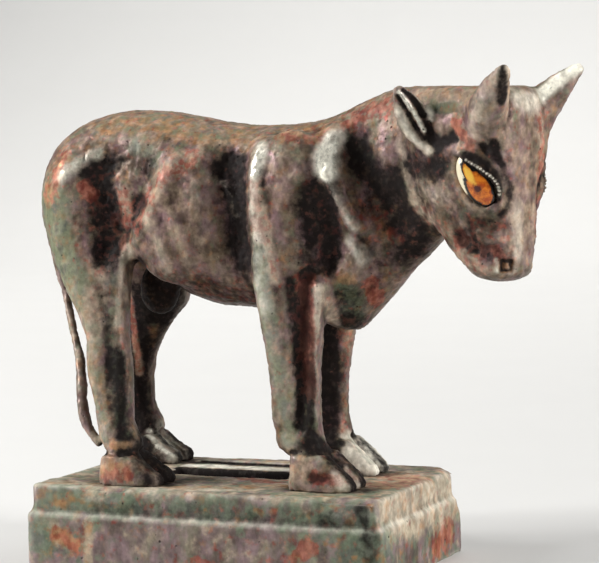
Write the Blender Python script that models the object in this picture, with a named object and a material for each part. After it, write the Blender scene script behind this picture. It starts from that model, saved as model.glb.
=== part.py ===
"""Bronze bull figurine on a two-tier plinth, with inlaid eyes.

The bull faces +X and its right side is toward -Y.  The origin is the centre of the plinth's
underside.  Sizes are metres.  The figure is drawn on a grid of 117 steps from its soles to the
flat top of its head, and the plinth's length and width follow from where its hooves stand.
"""

import math
from typing import NamedTuple

import bmesh
import bpy
import numpy as np
from mathutils import Matrix, Vector

# Driving sizes
FIGURE_HEIGHT = 0.117
FIT_GAP = 0.0003
UPPER_TIER_HEIGHT = 0.0089
LOWER_TIER_HEIGHT = 0.0165
LEDGE_WIDTH = 0.0013
LEDGE_DROP = 0.0013
PLINTH_BACK_MARGIN = 0.0053
PLINTH_FRONT_MARGIN = 0.0119
PLINTH_SIDE_MARGIN = 0.0047
PLINTH_EDGE_ROUND = 0.0005
PLINTH_CORNER_ROUND = 0.0020
POCKET_DEPTH = 0.0042
NEAR_POCKET_WIDTH = 0.0120
BAR_WIDTH = 0.0125
FAR_POCKET_WIDTH = 0.0045
POCKET_HOOF_CLEARANCE = 0.0034

# The figure's drawing grid, and how finely its surface is cut
GRID_STEPS = 117
GRID = FIGURE_HEIGHT / GRID_STEPS
VOXEL = 0.9
BLEND_STEPS = 9
CARVED_STEPS = 4
FINISH_STEPS = 2
BULL_TRIANGLES = 8300
RING_SIDES = 32
ROWS_PER_GAP = 4
SOLE_EXTENSION = 3.0
FLANK_START = 4.0
FLANK_FADE = 6.0

# The head is turned toward the right side about a point in the neck
HEAD_TURN = math.radians(18)
HEAD_PIVOT = Vector((45, 0, 0))


class Section(NamedTuple):
    """One cross section of a lofted form, in grid steps.

    at is its place along the loft.  low and high are its two ends in the depth direction.
    middle and half are its centre and half size across.  squareness is 2 for an ellipse and
    more for a squarer outline.  egg widens its high end and narrows its low end.
    """

    at: float
    low: float
    high: float
    middle: float
    half: float
    squareness: float = 2.2
    egg: float = 0.0


class Frame(NamedTuple):
    """The directions in which a form is drawn."""

    origin: Vector
    along: Vector
    depth: Vector
    across: Vector

    def point(self, along, depth, across):
        return self.origin + self.along * along + self.depth * depth + self.across * across


X_AXIS = Vector((1, 0, 0))
Y_AXIS = Vector((0, 1, 0))
Z_AXIS = Vector((0, 0, 1))
HEAD_FORWARD = Vector((math.cos(HEAD_TURN), -math.sin(HEAD_TURN), 0))
HEAD_LEFT = Vector((math.sin(HEAD_TURN), math.cos(HEAD_TURN), 0))
TRUNK_FRAME = Frame(Vector(), X_AXIS, Z_AXIS, Y_AXIS)
HEAD_FRAME = Frame(HEAD_PIVOT, Z_AXIS, HEAD_FORWARD, HEAD_LEFT)

# Trunk, neck and dewlap, from the rump forward
TRUNK = (
    Section(-62.2, 77, 88, 0, 5, 2.0),
    Section(-61.0, 71, 93.5, 0, 12),
    Section(-57.8, 66, 100.2, 0, 17.0),
    Section(-51.8, 64.5, 105.4, 0, 20.4),
    Section(-44.0, 65.5, 108.6, 0, 21.6),
    Section(-34.0, 65.5, 110.3, 0, 22.0),
    Section(-24.0, 61, 110, 0, 21.8),
    Section(-14.0, 54.2, 108.6, 0, 22.3),
    Section(-4.0, 51.4, 106.6, 0, 22.8),
    Section(8.0, 50.8, 105.4, 0, 22.4),
    Section(20.0, 49, 105.8, 0, 21.2),
    Section(30.0, 46, 107.4, 0, 20.0),
    Section(37.0, 44.2, 110.4, 0, 18.2, 2.2, 0.10),
    Section(44.0, 50.0, 113.4, -0.5, 15.6, 2.2, 0.18),
    Section(51.0, 57.0, 115.7, -2, 13.2, 2.3, 0.22),
    Section(58.0, 64.0, 116.2, -4.2, 11.8, 2.5, 0.22),
    Section(66.0, 71.0, 116.2, -6.7, 11.2, 2.6, 0.18),
    Section(76.0, 82, 116, -9.8, 9.5, 2.6, 0.10),
)

# Head, from the chin up to its flat top, in the head's own frame
HEAD = (
    Section(61.0, 42.0, 47.5, 0, 2.8, 2.0),
    Section(61.7, 38.5, 50.0, 0, 6.4),
    Section(64.0, 35.6, 52.0, 0, 9.2, 2.5),
    Section(67.0, 32.8, 52.8, 0, 10.2, 2.7),
    Section(71.0, 28.8, 52.6, 0, 10.6, 2.8),
    Section(76.0, 25.2, 52.6, 0, 11.8, 2.8),
    Section(82.0, 21.8, 52.8, 0, 13.2, 2.8),
    Section(88.0, 19.6, 53.2, 0, 14.2, 2.9),
    Section(95.0, 17.2, 54.0, 0, 14.6, 3.7),
    Section(102.0, 16.0, 54.4, 0, 14.6, 3.9),
    Section(108.0, 15.4, 54.2, 0, 14.0, 3.6),
    Section(113.6, 15.6, 53.4, 0, 13.0, 3.2),
    Section(116.0, 17.0, 51.5, 0, 11.5, 3.0),
)

# Legs from the sole up.  The right ones, toward -Y, stand ahead of the left ones.
FRONT_LEG_ACROSS = 15.5
FRONT_LEFT_SETBACK = 5.2
FRONT_SETBACK_TOP = 66
FRONT_LEG = (
    Section(0.0, 25.0, 34.0, 0, 4.4),
    Section(8.0, 23.0, 34.0, 0, 5.2),
    Section(11.0, 18.8, 33.4, 0, 6.0),
    Section(13.4, 17.0, 32.8, 0, 6.2),
    Section(16.5, 17.6, 32.0, 0, 5.6),
    Section(22.0, 17.9, 31.6, 0, 5.4),
    Section(30.0, 17.4, 31.6, 0, 5.6),
    Section(39.0, 16.3, 32.0, 0, 6.1),
    Section(50.0, 14.4, 33.0, 0, 7.0),
    Section(60.0, 12.6, 34.2, 0, 7.6),
    Section(72.0, 11.0, 36.0, 0, 8.0),
    Section(84.0, 10.6, 37.6, 0, 7.6),
    Section(95.0, 11.4, 37.4, 1.0, 6.2),
    Section(102.5, 15.0, 34.0, 2.5, 3.4),
)
HIND_LEG_ACROSS = 21.5
RIGHT_HIND_LEG = (
    Section(0.0, -33.0, -25.0, 0, 4.4),
    Section(7.0, -34.0, -24.0, 0, 5.2),
    Section(9.6, -35.0, -23.6, 0, 5.9),
    Section(12.0, -37.2, -24.0, 0, 6.2),
    Section(18.0, -38.3, -26.9, 0.2, 5.5),
    Section(25.0, -39.6, -26.8, 0.5, 5.5),
    Section(34.0, -41.8, -27.2, 1.0, 6.0),
    Section(41.0, -41.6, -28.4, 1.5, 6.3),
    Section(48.0, -44.2, -28.8, 2.5, 7.0),
    Section(56.0, -48.6, -29.0, 3.5, 8.2),
    Section(64.0, -53.0, -28.8, 5.0, 9.4),
    Section(74.0, -56.8, -28.0, 7.0, 10.4),
    Section(85.0, -57.6, -28.0, 8.0, 10.0),
    Section(95.0, -54.0, -32.0, 9.0, 7.0),
)
LEFT_HIND_LEG = (
    Section(0.0, -47.0, -39.0, 0, 4.4),
    Section(7.0, -48.4, -38.4, 0, 5.2),
    Section(9.6, -49.2, -38.0, 0, 5.9),
    Section(12.0, -51.0, -38.2, 0, 6.2),
    Section(18.0, -52.3, -41.2, 0.2, 5.5),
    Section(25.0, -53.0, -41.0, 0.5, 5.5),
    Section(34.0, -54.4, -39.4, 1.0, 6.0),
    Section(40.0, -53.8, -35.6, 1.5, 6.3),
    Section(46.0, -53.4, -30.8, 2.3, 7.0),
    Section(54.0, -54.2, -26.6, 3.3, 8.4),
    Section(64.0, -56.2, -26.6, 5.0, 9.6),
    Section(74.0, -57.8, -27.4, 7.0, 10.4),
    Section(85.0, -57.6, -28.0, 8.0, 10.0),
    Section(95.0, -54.0, -32.0, 9.0, 7.0),
)


class Hoof(NamedTuple):
    """A cloven hoof: where it stands across the body, its heel, its toe and its height."""

    across: float
    heel: float
    toe: float
    height: float


HOOVES = (
    Hoof(-FRONT_LEG_ACROSS, 22.9, 43.6, 11.2),
    Hoof(FRONT_LEG_ACROSS, 22.9 - FRONT_LEFT_SETBACK, 43.6 - FRONT_LEFT_SETBACK, 11.2),
    Hoof(-HIND_LEG_ACROSS, -35.8, -15.6, 9.4),
    Hoof(HIND_LEG_ACROSS, -50.2, -30.2, 9.4),
)
CLAW_ACROSS = 3.9
CLAW_HALF_WIDTH = 4.3

# The plinth's plan follows the hooves
STANCE_BACK = min(hoof.heel for hoof in HOOVES) * GRID
STANCE_FRONT = max(hoof.toe for hoof in HOOVES) * GRID
STANCE_SIDE = (HIND_LEG_ACROSS + CLAW_ACROSS + CLAW_HALF_WIDTH) * GRID
PLINTH_HALF_LENGTH = (STANCE_FRONT + PLINTH_FRONT_MARGIN - STANCE_BACK + PLINTH_BACK_MARGIN) / 2
PLINTH_HALF_WIDTH = STANCE_SIDE + PLINTH_SIDE_MARGIN
PLINTH_HEIGHT = LOWER_TIER_HEIGHT + UPPER_TIER_HEIGHT
FIGURE_SHIFT = PLINTH_HALF_LENGTH - PLINTH_FRONT_MARGIN - STANCE_FRONT
POCKET_BACK = HOOVES[3].toe * GRID + POCKET_HOOF_CLEARANCE
POCKET_FRONT = HOOVES[1].heel * GRID - POCKET_HOOF_CLEARANCE
BAR_MIDDLE = 15.5 * GRID

# Eye inlays, in the head's frame
EYE_HEIGHT = 90.0
EYE_FORWARD = 44.6
EYE_ACROSS = 11.9
EYE_FACING = Vector((0.46, 0.888, 0))
EYE_SLOPE = math.radians(60)
EYE_LENGTH = 8.2
EYE_BREADTH = 4.6
EYE_DEPTH = 2.8
EYE_FINENESS = 3
EYE_LID_GAP = 1.0
UPPER_LID_REACH = 2.2
UPPER_LID_RISE = 0.9
LOWER_LID_REACH = 1.8
LOWER_LID_RISE = 0.3

# Horns and ears as height, ahead and out in the head's frame, with their half sizes; the tail
HORN = ((103, 45.5, 9.5), (109.0, 48.8, 12.2), (115.5, 53.8, 15.0), (121.4, 59.7, 18.0))
HORN_WIDE = (5.4, 5.8, 4.1, 1.2)
HORN_THICK = (5.4, 5.6, 3.9, 1.1)
EAR = ((99.5, 30.0, 11.0), (105.5, 26.4, 15.2), (111.0, 25.4, 18.8), (116.4, 24.6, 22.0))
EAR_WIDE = (3.4, 5.0, 4.2, 1.1)
EAR_THICK = (2.2, 2.0, 1.6, 0.8)
EAR_TURN = math.radians(41)
TAIL = (
    (-56.5, -0.5, 97),
    (-61.8, -1.0, 89),
    (-64.4, -1.6, 79),
    (-62.6, -2.6, 69),
    (-60.0, -3.4, 60.5),
    (-57.3, -4.5, 53.2),
    (-53.6, -8.0, 44.3),
    (-48.6, -13.0, 35.0),
    (-46.0, -17.0, 28.0),
    (-45.2, -18.5, 22.5),
    (-43.2, -20.0, 16.5),
    (-38.0, -21.0, 10.4),
)
TAIL_ROOT_THICK = 1.8
TAIL_THICK = 1.4
TAIL_ROOT_POINTS = 4

BRONZE = (0.16, 0.12, 0.095)
PLINTH_BRONZE = (0.17, 0.17, 0.13)
AMBER = (0.62, 0.27, 0.05)


def clear_objects():
    """Empty the file of every object it opens with."""
    for item in list(bpy.data.objects):
        bpy.data.objects.remove(item, do_unlink=True)


def material(name, colour, roughness, metallic):
    """A plain Principled material of the part's own colour."""
    made = bpy.data.materials.new(name)
    made.use_nodes = True
    shader = made.node_tree.nodes["Principled BSDF"]
    shader.inputs["Base Color"].default_value = (*colour, 1.0)
    shader.inputs["Roughness"].default_value = roughness
    shader.inputs["Metallic"].default_value = metallic
    return made


def link(name, mesh, surface=None):
    """Put a mesh in the scene under a name."""
    item = bpy.data.objects.new(name, mesh)
    bpy.context.scene.collection.objects.link(item)
    if surface is not None:
        mesh.materials.append(surface)
    return item


def baked(item):
    """The object's mesh with its modifiers applied; the object itself is removed."""
    graph = bpy.context.evaluated_depsgraph_get()
    mesh = bpy.data.meshes.new_from_object(item.evaluated_get(graph))
    bpy.data.objects.remove(item, do_unlink=True)
    return mesh


def monotone_slopes(places, values):
    """Slopes of a curve through the values that never overshoots them."""
    gaps = np.diff(places)
    rates = np.diff(values, axis=0) / gaps[:, None]
    slopes = np.zeros_like(values)
    before, after = rates[:-1], rates[1:]
    same_way = before * after > 0
    weight_before = (2 * gaps[1:] + gaps[:-1])[:, None]
    weight_after = (gaps[1:] + 2 * gaps[:-1])[:, None]
    with np.errstate(divide="ignore", invalid="ignore"):
        mean = (weight_before + weight_after) / (weight_before / before + weight_after / after)
    slopes[1:-1] = np.where(same_way, mean, 0.0)
    slopes[0] = rates[0]
    slopes[-1] = rates[-1]
    return slopes


def smooth_rows(places, values, pieces):
    """Rows on a smooth curve through the given ones, with pieces rows in each gap."""
    places = np.asarray(places, float)
    values = np.asarray(values, float)
    slopes = monotone_slopes(places, values)
    rows = []
    for index, gap in enumerate(np.diff(places)):
        for share in np.linspace(0, 1, pieces, endpoint=False):
            rise = 3 * share**2 - 2 * share**3
            leave = share**3 - 2 * share**2 + share
            arrive = share**3 - share**2
            value = (1 - rise) * values[index] + rise * values[index + 1]
            value = value + gap * (leave * slopes[index] + arrive * slopes[index + 1])
            rows.append((places[index] + share * gap, value))
    rows.append((places[-1], values[-1]))
    return rows


def skin(bm, rings):
    """Close a run of rings of points into one solid with flat ends."""
    loops = []
    for ring in rings:
        corners = [bm.verts.new(point) for point in ring]
        edges = [bm.edges.new(pair) for pair in zip(corners, corners[1:] + corners[:1])]
        loops.append((corners, edges))
    for (_, first), (_, second) in zip(loops, loops[1:]):
        bmesh.ops.bridge_loops(bm, edges=first + second)
    bm.faces.new(loops[0][0])
    bm.faces.new(loops[-1][0])


def signed_power(value, power):
    return math.copysign(abs(value) ** power, value)


def section_ring(frame, at, low, high, middle, half, squareness, egg):
    """Points around one cross section."""
    ring = []
    for step in range(RING_SIDES):
        angle = 2 * math.pi * step / RING_SIDES
        side = signed_power(math.cos(angle), 2 / squareness)
        rise = signed_power(math.sin(angle), 2 / squareness)
        depth = (low + high) / 2 + rise * (high - low) / 2
        across = middle + side * half * (1 + egg * rise)
        ring.append(frame.point(at, depth, across))
    return ring


def add_loft(bm, frame, sections):
    """A solid through the sections."""
    places = [section.at for section in sections]
    values = [tuple(section)[1:] for section in sections]
    rows = smooth_rows(places, values, ROWS_PER_GAP)
    skin(bm, [section_ring(frame, at, *value) for at, value in rows])


def add_rope(bm, points, widths, thicknesses, facing):
    """A solid along a path, wide in the facing direction and thin across it."""
    lengths = [0.0]
    for first, second in zip(points, points[1:]):
        lengths.append(lengths[-1] + (second - first).length)
    values = [(*point, wide, thin) for point, wide, thin in zip(points, widths, thicknesses)]
    rows = [value for _, value in smooth_rows(lengths, values, ROWS_PER_GAP)]
    centres = [Vector(row[:3]) for row in rows]
    rings = []
    for index, row in enumerate(rows):
        before = centres[max(index - 1, 0)]
        after = centres[min(index + 1, len(rows) - 1)]
        run = (after - before).normalized()
        wide_way = (facing - run * facing.dot(run)).normalized()
        thin_way = run.cross(wide_way)
        ring = []
        for step in range(RING_SIDES // 2):
            angle = 4 * math.pi * step / RING_SIDES
            offset = wide_way * row[3] * math.cos(angle) + thin_way * row[4] * math.sin(angle)
            ring.append(centres[index] + offset)
        rings.append(ring)
    skin(bm, rings)


def add_blob(bm, centre, radii, turn=Matrix.Identity(4), subdivisions=3):
    """An ellipsoid of flesh."""
    place = Matrix.Translation(centre) @ turn @ Matrix.Diagonal((*radii, 1))
    bmesh.ops.create_icosphere(bm, subdivisions=subdivisions, radius=1, matrix=place)


def leg_frame(across):
    return Frame(Vector((0, across, 0)), Z_AXIS, X_AXIS, Y_AXIS)


def mirrored(sections):
    """The same leg for the other side of the body."""
    return tuple(section._replace(middle=-section.middle) for section in sections)


def set_back(sections, distance, top):
    """A leg that leans back from the given height down to its sole."""
    moved = []
    for section in sections:
        shift = distance * max(0.0, 1 - section.at / top)
        moved.append(section._replace(low=section.low - shift, high=section.high - shift))
    return tuple(moved)


def with_deep_sole(sections):
    """The leg carried on below its sole, where it is cut flat later."""
    return (sections[0]._replace(at=-SOLE_EXTENSION), *sections)


def add_masses(bm):
    """Trunk, head, legs and the large muscles."""
    add_loft(bm, TRUNK_FRAME, TRUNK)
    add_loft(bm, HEAD_FRAME, HEAD)
    front_left = set_back(FRONT_LEG, FRONT_LEFT_SETBACK, FRONT_SETBACK_TOP)
    add_loft(bm, leg_frame(-FRONT_LEG_ACROSS), with_deep_sole(FRONT_LEG))
    add_loft(bm, leg_frame(FRONT_LEG_ACROSS), with_deep_sole(mirrored(front_left)))
    add_loft(bm, leg_frame(-HIND_LEG_ACROSS), with_deep_sole(RIGHT_HIND_LEG))
    add_loft(bm, leg_frame(HIND_LEG_ACROSS), with_deep_sole(mirrored(LEFT_HIND_LEG)))
    for side in (-1, 1):
        add_blob(bm, (24.5, side * 15.4, 86), (13.2, 7.8, 19))
        add_blob(bm, (38.5, side * 11.6, 66), (8.0, 6.6, 9.5))
        add_blob(bm, (-12, side * 16.2, 75), (17, 7.6, 17))
        add_blob(bm, (-46, side * 14.2, 82), (13.2, 9.6, 18))
    add_blob(bm, (-27.5, 0, 56), (6.6, 6.0, 8.6))


def add_hoof(bm, hoof):
    """Two claws side by side, upright at the heel and sloping from the instep to the toe."""
    heel, toe, height = hoof.heel, hoof.toe, hoof.height
    profile = (
        (-SOLE_EXTENSION, heel + 0.4, toe - 0.3, 0.2),
        (0.0, heel + 0.4, toe - 0.3, 0.2),
        (1.2, heel, toe, 0.0),
        (2.8, heel + 0.1, toe - 1.0, 0.0),
        (height * 0.5, heel + 0.4, toe - 4.0, 0.1),
        (height * 0.8, heel + 0.8, toe - 7.6, 0.5),
        (height * 0.94, heel + 1.4, toe - 9.4, 0.9),
        (height, heel + 2.8, toe - 10.8, 1.8),
    )
    for side in (-1, 1):
        frame = leg_frame(hoof.across + side * CLAW_ACROSS)
        sections = [
            Section(at, low, high, 0, CLAW_HALF_WIDTH - narrowing, 3.0)
            for at, low, high, narrowing in profile
        ]
        add_loft(bm, frame, sections)


def add_trimmings(bm):
    """Horns, ears, tail and hooves, which stay crisp."""
    for side in (-1, 1):
        horn = [HEAD_FRAME.point(height, ahead, side * out) for height, ahead, out in HORN]
        add_rope(bm, horn, HORN_WIDE, HORN_THICK, HEAD_FORWARD)
        ear = [HEAD_FRAME.point(height, ahead, side * out) for height, ahead, out in EAR]
        leaf_way = HEAD_FORWARD * math.cos(EAR_TURN) - HEAD_LEFT * side * math.sin(EAR_TURN)
        add_rope(bm, ear, EAR_WIDE, EAR_THICK, leaf_way)
    rest = len(TAIL) - TAIL_ROOT_POINTS
    thick = [TAIL_ROOT_THICK] * TAIL_ROOT_POINTS + [TAIL_THICK] * rest
    add_rope(bm, [Vector(point) for point in TAIL], thick, thick, Y_AXIS)
    for hoof in HOOVES:
        add_hoof(bm, hoof)


def polyline_distance(places, path):
    """How far each place lies from the path."""
    path = np.array(path, float)
    nearest = np.full(len(places), np.inf)
    for start, end in zip(path, path[1:]):
        run = end - start
        share = np.clip((places - start) @ run / max(run @ run, 1e-9), 0, 1)
        nearest = np.minimum(nearest, np.linalg.norm(places - start - share[:, None] * run, axis=1))
    return nearest


def falloff(distance, reach):
    """One on the path, easing to nothing at its reach."""
    return np.clip(1 - (distance / reach) ** 2, 0, None) ** 2


def stroke(places, normals, path, reach, rise):
    """Raise the surface along a path, or press it in where rise is negative."""
    weight = falloff(polyline_distance(places, path), reach)
    places += normals * (weight * rise)[:, None]


def side_stroke(places, normals, side, path, reach, rise):
    """A stroke drawn in side view, worked into the one flank that faces that way."""
    weight = falloff(polyline_distance(places[:, [0, 2]], path), reach)
    weight = weight * np.clip(normals[:, 1] * side, 0, 1)
    weight = weight * np.clip((places[:, 1] * side - FLANK_START) / FLANK_FADE, 0, 1)
    places += normals * (weight * rise)[:, None]


def body_strokes():
    """Ridges and hollows of a flank in side view, each as a path, its reach and its rise."""
    return (
        (((4, 93), (6.0, 83), (7.0, 72)), 10.5, -4.2),
        (((30, 82), (32, 76), (35, 68)), 9.5, -3.4),
        (((14.2, 102), (13.6, 91), (13.4, 77), (15.4, 62), (18.4, 38), (19.5, 20)), 4.4, 3.0),
        (((35.0, 103), (37.6, 96), (38.0, 89), (41.0, 82), (43.5, 77)), 4.6, 3.0),
        (((46, 103), (45.5, 94), (49, 85), (55, 78)), 7.0, -2.2),
        (((29.6, 62), (27.2, 42), (25.8, 18)), 3.8, -3.6),
        (((33.6, 60), (31.6, 42), (30.6, 20)), 3.2, 2.4),
        (((-34, 94), (-34, 83), (-35, 72)), 11.5, -3.4),
        (((-21, 93), (-23, 84)), 8.0, -2.0),
        (((-47.5, 97), (-50.0, 86), (-48.5, 74)), 5.0, 1.0),
        (((-13, 96), (-15.5, 86), (-24.0, 74), (-29, 66)), 4.4, 1.6),
        (((-36.5, 70), (-35.5, 57), (-34.0, 44), (-33.0, 22)), 4.6, -2.6),
        (((-29.8, 66), (-29.6, 44)), 3.0, 1.2),
    )


def eye_arc(side, start, end):
    """Points just outside an eye inlay, between two angles from its rear corner to the lid."""
    place = eye_place(side, EYE_LID_GAP * GRID)
    arc = []
    for step in range(9):
        angle = math.radians(start + (end - start) * step / 8)
        arc.append(place @ Vector((math.cos(angle), side * math.sin(angle), 0.3)))
    return arc


def head_strokes():
    """Marks on one side of the head as forward, outward, height; then reach and rise."""
    return (
        (((38.0, 14.6, 98.5), (44.0, 14.8, 97.0)), 2.6, 0.6),
        (((51.4, 12.6, 103.0), (52.0, 12.3, 97.0), (51.6, 12.3, 91.5)), 3.4, 0.9),
        (((48.0, 14.4, 101.0), (49.2, 14.0, 96.0), (49.8, 13.8, 92.5)), 2.4, -1.3),
        (((52.0, 6.4, 66.0), (51.4, 7.0, 65.4)), 2.8, -1.8),
        (((51.5, 7.5, 66.0), (47.5, 9.8, 67.6), (43, 10.4, 69.8), (38.5, 10.6, 72.6)), 2.2, -1.1),
        (((46, 12, 79), (50, 11, 77)), 4.5, -0.9),
        (((31.2, 12.4, 100.5), (27.6, 16.6, 105.5), (26.6, 20.1, 111), (25.6, 22.4, 114.5)), 3.0, -1.7),
    )


def surface_points(mesh):
    """The places and normals of a mesh's vertices."""
    places = np.empty(len(mesh.vertices) * 3)
    mesh.vertices.foreach_get("co", places)
    normals = np.array([vertex.normal for vertex in mesh.vertices])
    return places.reshape(-1, 3), normals


def put_back(mesh, places):
    """Move a mesh's vertices to the places."""
    mesh.vertices.foreach_set("co", places.reshape(-1))
    mesh.update()


def carve_body(mesh):
    """Work the broad strokes into the blended surface."""
    places, normals = surface_points(mesh)
    for side in (-1, 1):
        for path, reach, rise in body_strokes():
            side_stroke(places, normals, side, path, reach, rise)
    put_back(mesh, places)


def carve_head(mesh):
    """Work the fine strokes into the whole figure."""
    places, normals = surface_points(mesh)
    for side in (-1, 1):
        for path, reach, rise in head_strokes():
            points = [HEAD_FRAME.point(height, ahead, side * out) for ahead, out, height in path]
            stroke(places, normals, points, reach, rise)
        stroke(places, normals, eye_arc(side, -10, 190), UPPER_LID_REACH, UPPER_LID_RISE)
        stroke(places, normals, eye_arc(side, 200, 340), LOWER_LID_REACH, LOWER_LID_RISE)
    put_back(mesh, places)


def blended(mesh, steps):
    """Melt the forms of a mesh into one skin and ease its creases."""
    item = link("blend", mesh)
    melt = item.modifiers.new("melt", "REMESH")
    melt.mode = "VOXEL"
    melt.voxel_size = VOXEL
    ease = item.modifiers.new("ease", "SMOOTH")
    ease.factor = 0.5
    ease.iterations = steps
    return baked(item)


def thinned(mesh, triangles):
    """The same skin with no more triangles than asked."""
    item = link("thin", mesh)
    count = sum(len(face.vertices) - 2 for face in mesh.polygons)
    thin = item.modifiers.new("thin", "DECIMATE")
    thin.ratio = min(1.0, triangles / count)
    thin.use_collapse_triangulate = True
    return baked(item)


def cut_soles(mesh):
    """Cut the legs flat at the height of the soles and close them."""
    bm = bmesh.new()
    bm.from_mesh(mesh)
    geometry = bm.verts[:] + bm.edges[:] + bm.faces[:]
    bmesh.ops.bisect_plane(
        bm, geom=geometry, plane_co=(0, 0, 0), plane_no=(0, 0, 1), clear_inner=True
    )
    rim = [edge for edge in bm.edges if edge.is_boundary]
    bmesh.ops.holes_fill(bm, edges=rim, sides=0)
    bmesh.ops.triangulate(bm, faces=[face for face in bm.faces if len(face.verts) > 4])
    bm.to_mesh(mesh)
    bm.free()


def eye_place(side, growth):
    """Where an eye inlay sits, grown all round by the given length in metres."""
    out = EYE_FACING.normalized()
    facing = HEAD_FORWARD * out.x + HEAD_LEFT * side * out.y
    level = facing.cross(Z_AXIS) * -side
    long_way = level * math.cos(EYE_SLOPE) + Z_AXIS * math.sin(EYE_SLOPE)
    short_way = facing.cross(long_way)
    turn = Matrix((long_way, short_way, facing)).transposed().to_4x4()
    centre = HEAD_FRAME.point(EYE_HEIGHT, EYE_FORWARD, side * EYE_ACROSS)
    grown = [radius + growth / GRID for radius in (EYE_LENGTH, EYE_BREADTH, EYE_DEPTH)]
    return Matrix.Translation(centre) @ turn @ Matrix.Diagonal((*grown, 1))


def figure_place():
    """From the drawing grid to the figure's place on the plinth, in metres."""
    lift = PLINTH_HEIGHT + FIT_GAP
    return Matrix.Translation((FIGURE_SHIFT, 0, lift)) @ Matrix.Scale(GRID, 4)


def ellipsoid_mesh(name, place):
    """A unit sphere carried to the given place, in metres."""
    mesh = bpy.data.meshes.new(name)
    bm = bmesh.new()
    bmesh.ops.create_icosphere(bm, subdivisions=EYE_FINENESS, radius=1, matrix=place)
    bmesh.ops.recalc_face_normals(bm, faces=bm.faces)
    bm.to_mesh(mesh)
    bm.free()
    return mesh


def cutter(name, mesh):
    """An object that only cuts others."""
    item = link(name, mesh)
    item.hide_render = True
    item.display_type = "WIRE"
    return item


def cut_with(item, tool):
    """Take the tool's shape out of the object."""
    cut = item.modifiers.new(tool.name, "BOOLEAN")
    cut.operation = "DIFFERENCE"
    cut.solver = "EXACT"
    cut.object = tool


def make_bull(surface):
    """The bull, one casting, with sockets for its eyes."""
    masses = bpy.data.meshes.new("masses")
    bm = bmesh.new()
    add_masses(bm)
    bmesh.ops.recalc_face_normals(bm, faces=bm.faces)
    bm.to_mesh(masses)
    bm.free()
    body = blended(masses, BLEND_STEPS)
    carve_body(body)
    body = blended(body, CARVED_STEPS)
    bm = bmesh.new()
    bm.from_mesh(body)
    add_trimmings(bm)
    bmesh.ops.recalc_face_normals(bm, faces=bm.faces)
    bm.to_mesh(body)
    bm.free()
    whole = blended(body, FINISH_STEPS)
    carve_head(whole)
    skin_mesh = thinned(whole, BULL_TRIANGLES)
    cut_soles(skin_mesh)
    skin_mesh.transform(figure_place())
    skin_mesh.shade_smooth()
    bull = link("bull", skin_mesh, surface)
    for name, side in (("right", -1), ("left", 1)):
        place = figure_place() @ eye_place(side, FIT_GAP)
        cut_with(bull, cutter(name + "_socket_cutter", ellipsoid_mesh(name + "_socket", place)))
    return bull


def make_eyes(surface):
    """The two inlaid eyes in their sockets."""
    for name, side in (("right", -1), ("left", 1)):
        node = name + "_eye_inlay"
        mesh = ellipsoid_mesh(node, figure_place() @ eye_place(side, 0.0))
        mesh.shade_smooth()
        link(node, mesh, surface)


def rounded_rectangle(half_length, half_width, radius, height):
    """Points around a rectangle with round corners."""
    ring = []
    corners = ((1, 1, 0), (-1, 1, 90), (-1, -1, 180), (1, -1, 270))
    for along, across, start in corners:
        for step in range(4):
            angle = math.radians(start + 30 * step)
            x = along * (half_length - radius) + radius * math.cos(angle)
            y = across * (half_width - radius) + radius * math.sin(angle)
            ring.append(Vector((x, y, height)))
    return ring


def box_mesh(name, low, high):
    """A box between two corners."""
    mesh = bpy.data.meshes.new(name)
    low, high = Vector(low), Vector(high)
    bm = bmesh.new()
    place = Matrix.Translation((low + high) / 2) @ Matrix.Diagonal((*(high - low), 1))
    bmesh.ops.create_cube(bm, size=1, matrix=place)
    bm.to_mesh(mesh)
    bm.free()
    return mesh


def make_plinth(surface):
    """The two-tier block, with two pockets in its top and a bar between them."""
    levels = (
        (0.0, LEDGE_WIDTH),
        (LOWER_TIER_HEIGHT, LEDGE_WIDTH),
        (LOWER_TIER_HEIGHT + LEDGE_DROP, 0.0),
        (PLINTH_HEIGHT - PLINTH_EDGE_ROUND, 0.0),
        (PLINTH_HEIGHT, -PLINTH_EDGE_ROUND),
    )
    mesh = bpy.data.meshes.new("plinth")
    bm = bmesh.new()
    rings = []
    for height, growth in levels:
        half_length = PLINTH_HALF_LENGTH + growth
        half_width = PLINTH_HALF_WIDTH + growth
        radius = PLINTH_CORNER_ROUND + growth
        rings.append(rounded_rectangle(half_length, half_width, radius, height))
    skin(bm, rings)
    bmesh.ops.recalc_face_normals(bm, faces=bm.faces)
    bm.to_mesh(mesh)
    bm.free()
    plinth = link("plinth", mesh, surface)
    near_edge = BAR_MIDDLE - BAR_WIDTH / 2
    far_edge = BAR_MIDDLE + BAR_WIDTH / 2
    pockets = (
        ("near_pocket", near_edge - NEAR_POCKET_WIDTH, near_edge),
        ("far_pocket", far_edge, far_edge + FAR_POCKET_WIDTH),
    )
    for name, start, end in pockets:
        low = (FIGURE_SHIFT + POCKET_BACK, start, PLINTH_HEIGHT - POCKET_DEPTH)
        high = (FIGURE_SHIFT + POCKET_FRONT, end, PLINTH_HEIGHT + POCKET_DEPTH)
        cut_with(plinth, cutter(name + "_cutter", box_mesh(name, low, high)))


def main():
    clear_objects()
    make_plinth(material("plinth_bronze", PLINTH_BRONZE, 0.6, 0.5))
    make_bull(material("bull_bronze", BRONZE, 0.45, 0.7))
    make_eyes(material("eye_amber", AMBER, 0.2, 0.0))


main()
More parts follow.
